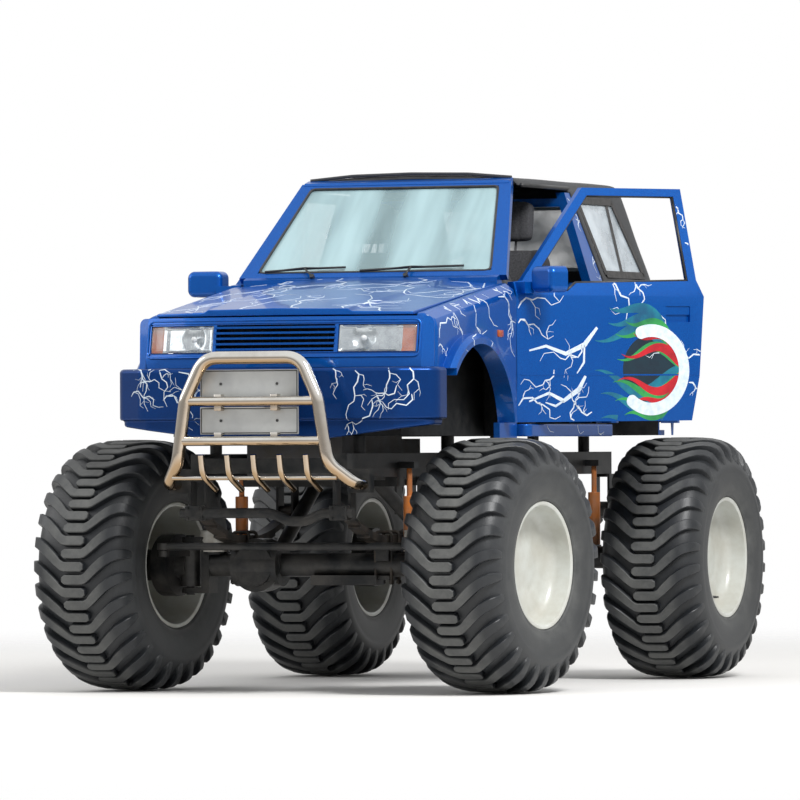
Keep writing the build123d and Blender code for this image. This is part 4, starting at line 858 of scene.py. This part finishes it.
wipers = bmesh.new()
for pivot, start, end in ((-0.30, -0.56, -0.15), (0.18, -0.07, 0.455)):
    mid = (start + end) / 2
    for line, radius, bend in (  # spindle, arm, blade, and the bow that holds the blade
        ([(pivot, -0.03, 0.002), (pivot, -0.03, 0.024)], 0.012, 0.05),
        ([(pivot, -0.03, 0.018), ((pivot + mid) / 2, -0.004, 0.022), (mid, 0.026, 0.016)], 0.005, 0.05),
        ([(start, 0.016, 0.006), (mid, 0.03, 0.01), (end, 0.04, 0.006)], 0.0055, 2.0),
        ([(mid - 0.11, 0.024, 0.009), (mid, 0.028, 0.018), (mid + 0.11, 0.033, 0.009)], 0.004, 0.1),
    ):
        add_pipe(wipers, [on_screen(*point) for point in line], radius, bend)
made("wipers", wipers, "chassis", wiper_black, slot="trim")
gasket = bmesh.new()
glass_corners = [(0, 0.014), (-0.597, 0.014), (-0.483, 0.588), (0.483, 0.588), (0.597, 0.014), (0, 0.014)]
add_pipe(gasket, [on_screen(x, up, -0.003) for x, up in glass_corners], 0.0065, bend=0.03, steps=8)
made("windscreen_gasket", gasket, "chassis", wiper_black, slot="trim")

# Inside the doors: a moulded trim panel with an armrest, a pocket and a pull, a rubber seal round the
# window, and the mirror's glass in its painted housing. The left door stands open.
trim_grey = coated("door_trim", (0.045, 0.046, 0.05), (0.075, 0.075, 0.08), 40, 0.65, bump=0.35)
mirror_glass = coated(
    "mirror_glass", (0.75, 0.77, 0.78), (0.70, 0.72, 0.74), 3, 0.04, metallic=1.0, bump=0.01
)
window_line = [  # y, z of the side window's corners
    (0.792, 1.873), (0.99, 1.873), (1.05, 1.912), (1.699, 1.926), (1.703, 2.332), (1.201, 2.332),
    (0.792, 1.911),
]
belt_x, belt_z, roof_x, roof_z = 0.712, 1.93, 0.575, 2.376


def side_x(z):
    """How far out the car's side stands, where it leans in above the belt line."""
    return belt_x - (z - belt_z) * (belt_x - roof_x) / (roof_z - belt_z)


hinge, opening = on_car(0.75, 0.693, 0), math.radians(-35)
door_swing = Matrix.Translation(hinge) @ Matrix.Rotation(opening, 4, "Z") @ Matrix.Translation(-hinge)
swings = ((1, "left", door_swing), (-1, "right", Matrix()))
for side, name, swing in swings:
    trim = bmesh.new()
    for x, y, z, size, edge in (  # panel, armrest, pocket
        (0.658, 1.24, 1.575, (0.01, 0.88, 0.52), 0.004), (0.64, 1.30, 1.60, (0.045, 0.42, 0.05), 0.016),
        (0.652, 1.18, 1.40, (0.018, 0.56, 0.11), 0.008),
    ):
        add_block(trim, on_car(side * x, y, z), size, edge=edge)
    pull = ((0.655, 1.15), (0.632, 1.165), (0.632, 1.285), (0.655, 1.30))  # x, y
    add_bar(trim, [(side * x, y, 1.70) for x, y in pull], 0.008, bend=0.02)
    made(f"door_trim_{name}", trim, f"door_{name}_body", trim_grey, slot="trim", where=swing)
    seal = bmesh.new()
    for start, end in zip(window_line, window_line[1:] + window_line[:1]):
        add_bar(seal, [(side * (side_x(z) - 0.01), y, z) for y, z in (start, end)], 0.0075, steps=8)
    made(f"window_seal_{name}", seal, f"door_{name}_body", wiper_black, slot="trim", where=swing)
    glass = bmesh.new()
    add_block(glass, on_car(side * 0.88, 0.8305, 1.924), (0.15, 0.003, 0.094), edge=0.001)
    made(f"mirror_glass_{name}", glass, f"door_{name}_body", mirror_glass, slot="polished", where=swing)

# Soft top: one skin of black coated canvas, stretched over the hoop and pulled down to the belt line.
# It sags a little between its seams, and its edges lie on rubber seals. A dark binding goes round
# each clear window.
canvas, tree, shader, place = painted("soft_top_canvas")
threads = []
for direction in ("X", "Z"):
    wave = filled(tree.nodes.new("ShaderNodeTexWave"), {"Vector": place, "Scale": 260})
    wave.bands_direction = direction
    threads.append(wave.outputs["Fac"])
faded = noise(tree, place, 2.6, 6)
filled(shader, {
    "Base Color": mixed(tree, faded, (0.008, 0.009, 0.011, 1), (0.03, 0.032, 0.036, 1)),
    "Roughness": 0.72, "Sheen Weight": 0.10, "Sheen Roughness": 0.5,
})
add_relief(tree, shader, combined(tree, "ADD", *threads), 0.35, 0.001)

block = bpy.data.objects.new("cover_block", frame["nodes"]["soft_top"].data.copy())
bpy.context.scene.collection.objects.link(block)
even = block.modifiers.new("even", "REMESH")
even.mode = "VOXEL"
even.voxel_size = 0.013
ready = block.evaluated_get(bpy.context.evaluated_depsgraph_get())
cover = bmesh.new()
cover.from_mesh(ready.to_mesh())
ready.to_mesh_clear()
bpy.data.objects.remove(block)
walls = BVHTree.FromBMesh(cover)
inner = []
for face in cover.faces:  # those that look down, or at another wall
    eye = face.calc_center_median() + face.normal * 0.004
    if face.normal.z < -0.6 or walls.ray_cast(eye, face.normal, 1.6)[0]:
        inner.append(face)
bmesh.ops.delete(cover, geom=inner, context="FACES")
edge_verts = {vert for edge in cover.edges if edge.is_boundary for vert in edge.verts}
loose = [vert for vert in cover.verts if vert not in edge_verts]
for _ in range(10):
    bmesh.ops.smooth_vert(cover, verts=loose, factor=0.5, use_axis_x=True, use_axis_y=True, use_axis_z=True)
seam_x, roof_low = 0.30, 2.38
cover.normal_update()
for vert in loose:
    x, y, z = vert.co
    if z > roof_low:
        across = min(abs(x - seam_x), abs(x + seam_x))
        ripple = 0.0012 * math.sin(9 * y + 3 * x) * math.sin(7 * x)
        sag = ripple - 0.004 * math.sin(min(across / 0.16, 1.0) * math.pi / 2)
    else:
        sag = 0.0022 * math.sin(16 * y + 9 * z) * math.sin(11 * z + 2)
    vert.co += vert.normal * sag
roof_skin = BVHTree.FromBMesh(cover)
skin = made("soft_top_skin", cover, "chassis", canvas, angle=60, slot="cloth")
thick = skin.modifiers.new("thick", "SOLIDIFY")
thick.thickness = 0.002
thick.offset = -1
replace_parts(skin, "soft_top")

trim_brown = coated("window_binding", (0.05, 0.047, 0.046), (0.028, 0.028, 0.028), 40, 0.7, bump=0.3)
rear_low, rear_high = 2.866, 2.668
rear_lean = (rear_low - rear_high) / (2.40 - belt_z)


def cover_side(side):
    """The function that puts points on a side of the soft top, off its skin by a lift."""
    return lambda y, z, lift: on_car(side * (side_x(z) + lift), y, z)


def cover_rear(x, z, lift):
    """A point on the soft top's rear, off its skin by a lift."""
    return on_car(x, rear_low - (z - belt_z) * rear_lean + lift, z)


def add_band(shape, start, end, width, place, lift=0.002, thick=0.003, steps=10):
    """Adds a flat strip to a bmesh, from one point to another of a sloping side."""
    a, b = Vector(start), Vector(end)
    across = Vector((-(b - a).y, (b - a).x)).normalized() * width / 2
    section = ((-1, lift - thick), (-0.9, lift), (0.9, lift), (1, lift - thick))
    rows = []
    for middle in [a.lerp(b, i / steps) for i in range(steps + 1)]:
        spots = [(middle + across * share, height) for share, height in section]
        rows.append([shape.verts.new(place(*spot, height)) for spot, height in spots])
    add_skin(shape, rows, closed=False, capped=False)


binding = bmesh.new()
side_corners = [(2.03, 1.975), (1.925, 2.335), (2.40, 2.335), (2.56, 1.975)]  # y, z
rear_corners = [(-0.44, 2.01), (-0.44, 2.33), (0.44, 2.33), (0.44, 2.01)]  # x, z
for corners, place in (
    (side_corners, cover_side(1)), (side_corners, cover_side(-1)), (rear_corners, cover_rear),
):
    for start, end in zip(corners, corners[1:] + corners[:1]):
        add_band(binding, start, end, 0.036, place)
for side in (1, -1):
    add_band(binding, (2.262, 1.965), (2.33, 2.345), 0.03, cover_side(side), lift=-0.002)
made("window_binding", binding, "chassis", trim_brown, slot="cloth")
seams = bmesh.new()
seam_front, seam_step = 1.228, 0.048
for x in (-seam_x, seam_x):
    above = [on_car(x, seam_front + seam_step * i, 2.6) for i in range(30)]
    landed = [roof_skin.ray_cast(point, Vector((0, 0, -1)))[0] for point in above]
    add_pipe(seams, [point for point in landed if point and point.z > 2.3], 0.0028, bend=0.3, steps=8)
for on_side in (cover_side(1), cover_side(-1)):
    add_pipe(seams, [on_side(1.952, 1.94, 0.001), on_side(1.848, 2.372, 0.001)], 0.004, steps=8)
made("roof_seams", seams, "chassis", canvas, slot="cloth")
for name, material, slot, radius, y, (side_z, seam_z, top_z), end_x in (
    ("header_welt", canvas, "cloth", 0.008, 1.213, (2.427, 2.446, 2.452), 0.52),
    ("header_seal", wiper_black, "trim", 0.0145, 1.221, (2.404, 2.424, 2.43), 0.525),
):
    arch = bmesh.new()
    half = [(end_x, y + 0.003, side_z), (seam_x, y + 0.001, seam_z), (0, y, top_z)]
    add_bar(arch, [(-x, y, z) for x, y, z in half] + half[-2::-1], radius, bend=0.5, steps=10)
    made(name, arch, "chassis", material, slot=slot)
roof_seals = bmesh.new()
for x in (0.566, -0.566):
    add_bar(roof_seals, [(x, 1.225, 2.389), (x, 1.845, 2.389)], 0.0105, steps=10)
made("roof_edge_seals", roof_seals, "chassis", wiper_black, slot="trim")
rounded("soft_top_windows", clear_vinyl, 0.0005, slot="clear_vinyl")

# Front seats: foam cushions and backs in dark woven covers, with sewn channels and side bolsters, on
# black bases, and head restraints on two rods.
seat_cloth = coated("seat_cloth", (0.03, 0.03, 0.034), (0.065, 0.066, 0.072), 120, 0.85, bump=0.5)
bolster_at, side_seam_at, seam_reach = 0.80, 0.60, 0.035  # shares of half a pad


def pad(name, size, where, crown, bolster, channels):
    """A stuffed pad: a rounded block whose face swells between sewn channels and side bolsters."""
    shape = bmesh.new()
    bmesh.ops.create_cube(shape, size=2)
    bmesh.ops.subdivide_edges(shape, edges=shape.edges, cuts=23, use_grid_fill=True)
    for vert in shape.verts:
        across, along, up = vert.co / sum(abs(part) ** 7 for part in vert.co) ** (1 / 7)
        from_middle = abs(across)
        lift = crown * (1 - across * across) * (1 - along * along)
        if up > 0:
            lift += bolster * math.exp(-((from_middle - bolster_at) / 0.14) ** 2)
            lift -= 0.006 * math.exp(-((from_middle - side_seam_at) / seam_reach) ** 2)
            for channel in channels:
                lift -= 0.007 * math.exp(-((along - channel) / seam_reach) ** 2) * (from_middle < 0.62)
        high = up * size[2] / 2 + lift * (1 if up > 0 else -0.2)
        vert.co = (across * size[0] / 2, along * size[1] / 2, high)
    piece = made(name, shape, "chassis", seat_cloth, angle=80, slot="seat", where=where)
    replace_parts(piece, "front_seats")


seat_x = 0.36
seat_bases = bmesh.new()
for side, name in sides:
    for part, y, z, lean, size, crown, bolster, channels in (  # lean in degrees
        ("cushion", 1.175, 1.568, -4, (0.47, 0.43, 0.12), 0.012, 0.018, (-0.45, 0.0, 0.45)),
        ("backrest", 1.492, 1.82, 72.6, (0.45, 0.54, 0.085), 0.01, 0.02, (-0.5, -0.1, 0.3)),
        ("head_restraint", 1.575, 2.225, 84, (0.25, 0.19, 0.078), 0.006, 0.0, ()),
    ):
        where = Matrix.Translation(on_car(side * seat_x, y, z)) @ Matrix.Rotation(math.radians(lean), 4, "X")
        pad(f"{part}_{name}", size, where, crown, bolster, channels)
    add_block(seat_bases, on_car(side * seat_x, 1.23, 1.36), (0.40, 0.42, 0.285), edge=0.02)
    add_block(seat_bases, on_car(side * seat_x, 1.49, 1.56), (0.44, 0.06, 0.11), edge=0.02)
    for x in (side * seat_x - 0.045, side * seat_x + 0.045):
        add_bar(seat_bases, [(x, 1.558, 2.06), (x, 1.572, 2.145)], 0.006)
made("seat_bases", seat_bases, "chassis", trim_grey, slot="trim")

# Dashboard: grained dark plastic with a hooded cluster, vents and a glove box. The steering wheel has
# a padded rim and three spokes.
dash_plastic = coated("dash_plastic", (0.03, 0.031, 0.034), (0.05, 0.051, 0.055), 60, 0.6, bump=0.4)
rounded("dashboard", dash_plastic, 0.022, segments=4, slot="trim")
fittings = bmesh.new()
add_block(fittings, on_car(seat_x, 0.90, 1.94), (0.33, 0.12, 0.05), edge=0.022)
add_block(fittings, on_car(-seat_x, 0.962, 1.76), (0.34, 0.012, 0.10), edge=0.005)
vent_places, vent_low, slat_gap = (-0.56, -0.20, 0.06, 0.57), 1.838, 0.01
for x in vent_places:
    for z in [vent_low + slat_gap * slat for slat in range(4)]:
        add_block(fittings, on_car(x, 0.984, z), (0.10, 0.008, 0.004), edge=0.001)
made("dash_fittings", fittings, "chassis", dash_plastic, slot="trim")
wheel_tilt = Matrix.Translation(on_car(seat_x, 1.12, 1.90)) @ Matrix.Rotation(math.radians(28 - 90), 4, "X")
ring_steps, grip_steps, ring_radius, grip = 72, 14, 0.185, 0.0155
steering = bmesh.new()
ring = []
for along in [2 * math.pi * i / ring_steps for i in range(ring_steps)]:
    ring.append([])
    for around in [2 * math.pi * j / grip_steps for j in range(grip_steps)]:
        out = ring_radius + grip * math.cos(around)
        spot = (out * math.cos(along), out * math.sin(along), grip * math.sin(around))
        ring[-1].append(steering.verts.new(spot))
add_skin(steering, ring + ring[:1], capped=False)
for spoke in (0, 180, 270):
    spoke_turn = Matrix.Rotation(math.radians(spoke), 4, "Z")
    add_block(steering, (0.105, 0, 0), (0.15, 0.034, 0.018), spoke_turn, edge=0.006)
add_block(steering, (0, 0, 0.002), (0.11, 0.09, 0.034), edge=0.014)
add_pipe(steering, [(0, 0, -0.01), (0, 0, -0.18)], 0.026)
steering = made("steering_wheel_rim", steering, "chassis", dash_plastic, slot="trim", where=wheel_tilt)
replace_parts(steering, "steering_wheel")

# Painted graphics: white lightning stripes with many forks over bumper, hood, wings, doors, steps and
# quarters, and on the left door an open white ring with flames in teal, green and red. They are laid
# on the panels as a thin film, stroke by stroke.
bolt_white = coated("bolt_white", (0.66, 0.72, 0.77), (0.50, 0.60, 0.70), 40, 0.32, bump=0.05, coat=0.3)
film = 0.0008


def skin_of(*names):
    """A tree of the surface of some panels, for paint to be laid on."""
    shape = bmesh.new()
    for name in names:
        shape.from_mesh(frame["nodes"][name].data)
    skin = BVHTree.FromBMesh(shape)
    shape.free()
    return skin


def lay(shape, skin, points, widths, spray, lift=film, lanes=1, step=0.014):
    """Adds one painted stroke to a bmesh, where rays from a plane in front of the panel land."""
    ways = [(b - a).normalized() for a, b in zip(points, points[1:])]
    samples = []
    for i, (a, b) in enumerate(zip(points, points[1:])):
        count = max(1, math.ceil((b - a).length / step))
        for k in range(count):
            way = (ways[i] + ways[i - 1]).normalized() if k == 0 and i else ways[i]
            width = widths[i] + (widths[i + 1] - widths[i]) * k / count
            samples.append((a.lerp(b, k / count), width, way))
    samples.append((points[-1], widths[-1], ways[-1]))
    before = None
    runs = []
    for middle, width, way in samples:
        side = Vector((-way.y, way.x)) * width / 2
        across = [middle + side * (2 * lane / lanes - 1) for lane in range(lanes + 1)]
        hits = [skin.ray_cast(*spray(spot))[:2] for spot in across]
        if any(spot is None for spot, _ in hits):
            before = None
            continue
        if before is None or max((new - old).length for (new, _), (old, _) in zip(hits, before)) > 3 * step:
            runs.append([])
        runs[-1].append(hits)
        before = hits
    for run in runs:
        if len(run) > 1:
            add_skin(shape, [
                [shape.verts.new(spot + normal * lift) for spot, normal in hits]
                + [shape.verts.new(spot - normal * film / 2) for spot, normal in reversed(hits)]
                for hits in run
            ])


def lightning(start, end, width, dice, forks=2, halvings=3):
    """The strokes of one bolt: a broken line that tapers, with thinner forks off it."""
    line = [Vector(start), Vector(end)]
    for _ in range(halvings):
        finer = line[:1]
        for bend, (a, b) in enumerate(zip(line, line[1:])):
            along = b - a
            off = Vector((-along.y, along.x)) * (-1) ** bend * dice.uniform(0.08, 0.30)
            finer += [a + along * dice.uniform(0.38, 0.62) + off, b]
        line = finer
    last = len(line) - 1
    strokes = [(line, [width * (1 - 0.75 * i / last) * (1.0 if i else 0.45) for i in range(last + 1)])]
    if forks:
        whole = (line[-1] - line[0]).length
        for place in sorted(dice.sample(range(1, last), min(forks, last - 1))):
            turn_off = Matrix.Rotation(dice.choice((-1, 1)) * dice.uniform(0.45, 1.05), 2)
            away = turn_off @ (line[place + 1] - line[place]).normalized()
            tip = line[place] + away * whole * dice.uniform(0.30, 0.55)
            strokes += lightning(line[place], tip, width * 0.62, dice, forks - 1, max(halvings - 1, 1))
    return strokes


def spray_front(spot):
    """A ray from in front of the car, on a spot's x and z."""
    return on_car(spot.x, -1.6, spot.y), Vector((0, 1, 0))


def spray_top(spot):
    """A ray from above the car, on a spot's x and y."""
    return on_car(spot.x, spot.y, 2.4), Vector((0, 0, -1))


def spray_side(side, swing=Matrix()):
    """Rays from one side of the car, on a spot's y and z, turned with the door."""
    return lambda spot: (swing @ on_car(side * 1.3, spot.x, spot.y), swing.to_3x3() @ Vector((-side, 0, 0)))


front_bolts = [  # start x and z, end x and z, width
    (0.69, 1.50, 0.60, 1.31, 0.0065), (0.60, 1.50, 0.50, 1.33, 0.007), (0.52, 1.36, 0.38, 1.22, 0.0065),
    (0.70, 1.38, 0.52, 1.33, 0.006), (0.44, 1.49, 0.40, 1.26, 0.0075), (0.64, 1.42, 0.48, 1.40, 0.006),
    (0.33, 1.50, 0.35, 1.36, 0.0055),
]
hood_bolts = [  # start x and y, end x and y, width
    (0.61, -0.43, 0.18, 0.06, 0.011), (0.60, 0.65, 0.24, 0.08, 0.011), (0.64, 0.16, 0.20, 0.42, 0.01),
    (0.14, -0.48, 0.06, -0.02, 0.011), (0.34, -0.46, 0.46, 0.04, 0.01), (0.26, 0.66, 0.02, 0.26, 0.01),
    (0.43, 0.65, 0.58, 0.20, 0.009),
]
wing_bolts = [  # start y and z, end y and z, width
    (-0.33, 1.735, 0.06, 1.66, 0.011), (-0.30, 1.64, -0.06, 1.715, 0.008), (-0.10, 1.775, 0.30, 1.68, 0.011),
    (0.12, 1.80, 0.44, 1.70, 0.01), (0.33, 1.85, 0.67, 1.72, 0.011), (0.48, 1.84, 0.66, 1.56, 0.009),
    (-0.31, 1.60, -0.20, 1.56, 0.007),
]
door_bolts = [  # in these and the next two, start y and z, end y and z, width
    (1.18, 1.925, 1.35, 1.70, 0.011), (1.30, 1.925, 1.45, 1.74, 0.01), (1.42, 1.76, 1.60, 1.56, 0.011),
    (1.765, 1.64, 1.60, 1.56, 0.01), (0.70, 1.79, 0.96, 1.85, 0.009), (0.70, 1.72, 0.90, 1.66, 0.009),
    (0.70, 1.33, 0.94, 1.28, 0.01), (1.12, 1.30, 0.94, 1.43, 0.009), (1.02, 1.26, 1.10, 1.42, 0.008),
    (1.06, 1.62, 0.82, 1.54, 0.008), (0.90, 1.50, 0.71, 1.43, 0.008), (1.48, 1.255, 1.52, 1.30, 0.007),
    (1.68, 1.44, 1.745, 1.33, 0.009), (1.684, 2.30, 1.738, 2.18, 0.008), (1.722, 2.11, 1.768, 2.01, 0.008),
]
step_bolts = [
    (0.78, 1.236, 1.02, 1.205, 0.008), (1.18, 1.236, 1.42, 1.208, 0.008), (1.48, 1.236, 1.70, 1.206, 0.007),
]
quarter_bolts = [
    (1.90, 1.90, 2.18, 1.64, 0.01), (2.15, 1.92, 2.46, 1.76, 0.01), (2.48, 1.90, 2.78, 1.68, 0.01),
    (2.82, 1.80, 2.70, 1.50, 0.009), (1.86, 1.56, 1.96, 1.30, 0.009), (1.828, 2.24, 1.90, 1.98, 0.009),
    (1.794, 2.34, 1.85, 2.18, 0.007), (1.90, 1.76, 1.83, 1.56, 0.008),
]
for side, name, swing in swings:
    dice = random.Random(f"bolts of the {name} side")
    for place, body, panels_under, spray, across, table in (
        ("bumper", "chassis", ("front_bumper",), spray_front, side, front_bolts),
        ("hood", "hood_body", ("hood",), spray_top, side, hood_bolts),
        ("wing", "chassis", (f"wing_{name}",), spray_side(side), 1, wing_bolts),
        ("door", f"door_{name}_body", (f"door_{name}",), spray_side(side, swing), 1, door_bolts),
        ("quarter", "chassis", (f"quarter_{name}", "roll_hoop"), spray_side(side), 1, quarter_bolts),
        ("step", "chassis", ("side_steps",), spray_side(side), 1, step_bolts),
    ):
        under = skin_of(*panels_under)
        strokes = bmesh.new()
        for start, start_up, end, end_up, width in table:
            for line, widths in lightning((across * start, start_up), (across * end, end_up), width, dice):
                lay(strokes, under, line, widths, spray)
        made(f"bolts_{place}_{name}", strokes, body, bolt_white, slot="white")

# The open ring on the left door, with tongues of flame that run forward out of it over a dark disc,
# and two broad flashes ahead of them. A pressed line runs along the middle of each door.
flame_paints = {
    name: coated(f"flame_{name}", colour, other, 9, 0.3, coat=0.3, bump=0.05) for name, colour, other in (
        ("dark", (0.003, 0.02, 0.034), (0.001, 0.008, 0.02)),
        ("teal", (0.005, 0.17, 0.24), (0.002, 0.07, 0.15)),
        ("green", (0.03, 0.30, 0.07), (0.01, 0.14, 0.05)),
        ("red", (0.50, 0.01, 0.02), (0.26, 0.004, 0.012)),
    )
}
door_skin = skin_of("door_left")
door_spray = spray_side(1, door_swing)
ring_middle, ring_reach, ring_width = Vector((1.463, 1.50)), 0.187, 0.06  # y, z


def about_ring(angle, reach):
    """A point of the door at an angle and a reach from the middle of the ring."""
    return ring_middle + reach * Vector((math.cos(angle), math.sin(angle)))


flames = [  # paint, layer, tongues, spread of their roots in degrees, length, width
    ("teal", 2, 7, 66, 0.56, 0.10), ("green", 3, 6, 54, 0.46, 0.074), ("red", 4, 4, 34, 0.39, 0.062),
]
tongue_steps, root_reach = 36, 0.172
art = {paint: bmesh.new() for paint in flame_paints}
disc_radius = ring_reach - 0.02
disc_turns = [math.radians(6 * i) for i in range(31)]
chord = [ring_middle + Vector((disc_radius * math.cos(a), 0)) for a in disc_turns]
deep = [max(2 * disc_radius * math.sin(a), 0.004) for a in disc_turns]
lay(art["dark"], door_skin, chord, deep, door_spray, lift=film * 0.6, lanes=16)
dice = random.Random("tongues of flame")
for paint, layer, tongues, spread, length, width in flames:
    for count in range(tongues):
        share_up = 2 * (count + 0.5) / tongues - 1
        heading = math.radians(180 - 26 * share_up + dice.uniform(-3, 3))
        spot = about_ring(math.radians(spread * share_up), root_reach)
        stride = length * (1 - 0.35 * share_up * share_up) * dice.uniform(0.85, 1.1) / tongue_steps
        swerve = 0.62 * (-1 if share_up > 0 else 1)
        line, widths = [], []
        for share in [i / tongue_steps for i in range(tongue_steps + 1)]:
            line.append(spot.copy())
            widths.append(max(width * min(0.55 + 1.6 * share, 1.0) * (1 - share) ** 0.85, 0.002))
            toward = heading + swerve * math.sin(2 * math.pi * (0.95 * share + 0.04 * layer))
            spot += stride * Vector((math.cos(toward), math.sin(toward)))
        thickness = film * (0.5 + 0.3 * layer) + 0.00005 * count
        lay(art[paint], door_skin, line, widths, door_spray, lift=thickness, lanes=6)
for paint, shape in art.items():
    made(f"door_flames_{paint}", shape, "door_left_body", flame_paints[paint], slot="white")
arc_steps = 128
arc = [about_ring(math.radians(118 - 2 * i), ring_reach) for i in range(arc_steps)]
ends = [min(i + 0.3, arc_steps - 0.7 - i, 4.6) / 4.6 for i in range(arc_steps)]
arc_widths = [ring_width * math.sqrt(1 - (1 - end) ** 2) for end in ends]
door_white = bmesh.new()
lay(door_white, door_skin, arc, arc_widths, door_spray, lift=film * 3, lanes=4, step=0.007)
dice = random.Random("broad flashes of the left door")
for start, end in (((1.15, 1.70), (0.76, 1.59)), ((1.08, 1.47), (0.76, 1.35))):
    for line, widths in lightning(start, end, 0.03, dice, forks=1, halvings=2):
        lay(door_white, door_skin, line, widths, door_spray, lanes=2)
made("door_ring", door_white, "door_left_body", bolt_white, slot="white")
pressed_line = [Vector((0.712, 1.476)), Vector((1.752, 1.476))]  # y, z
for side, name, swing in swings:
    crease, door = bmesh.new(), f"door_{name}"
    lay(crease, skin_of(door), pressed_line, [0.007, 0.007], spray_side(side, swing), lift=0.0022, lanes=2)
    made(f"door_crease_{name}", crease, f"{door}_body", body_blue, slot="blue")
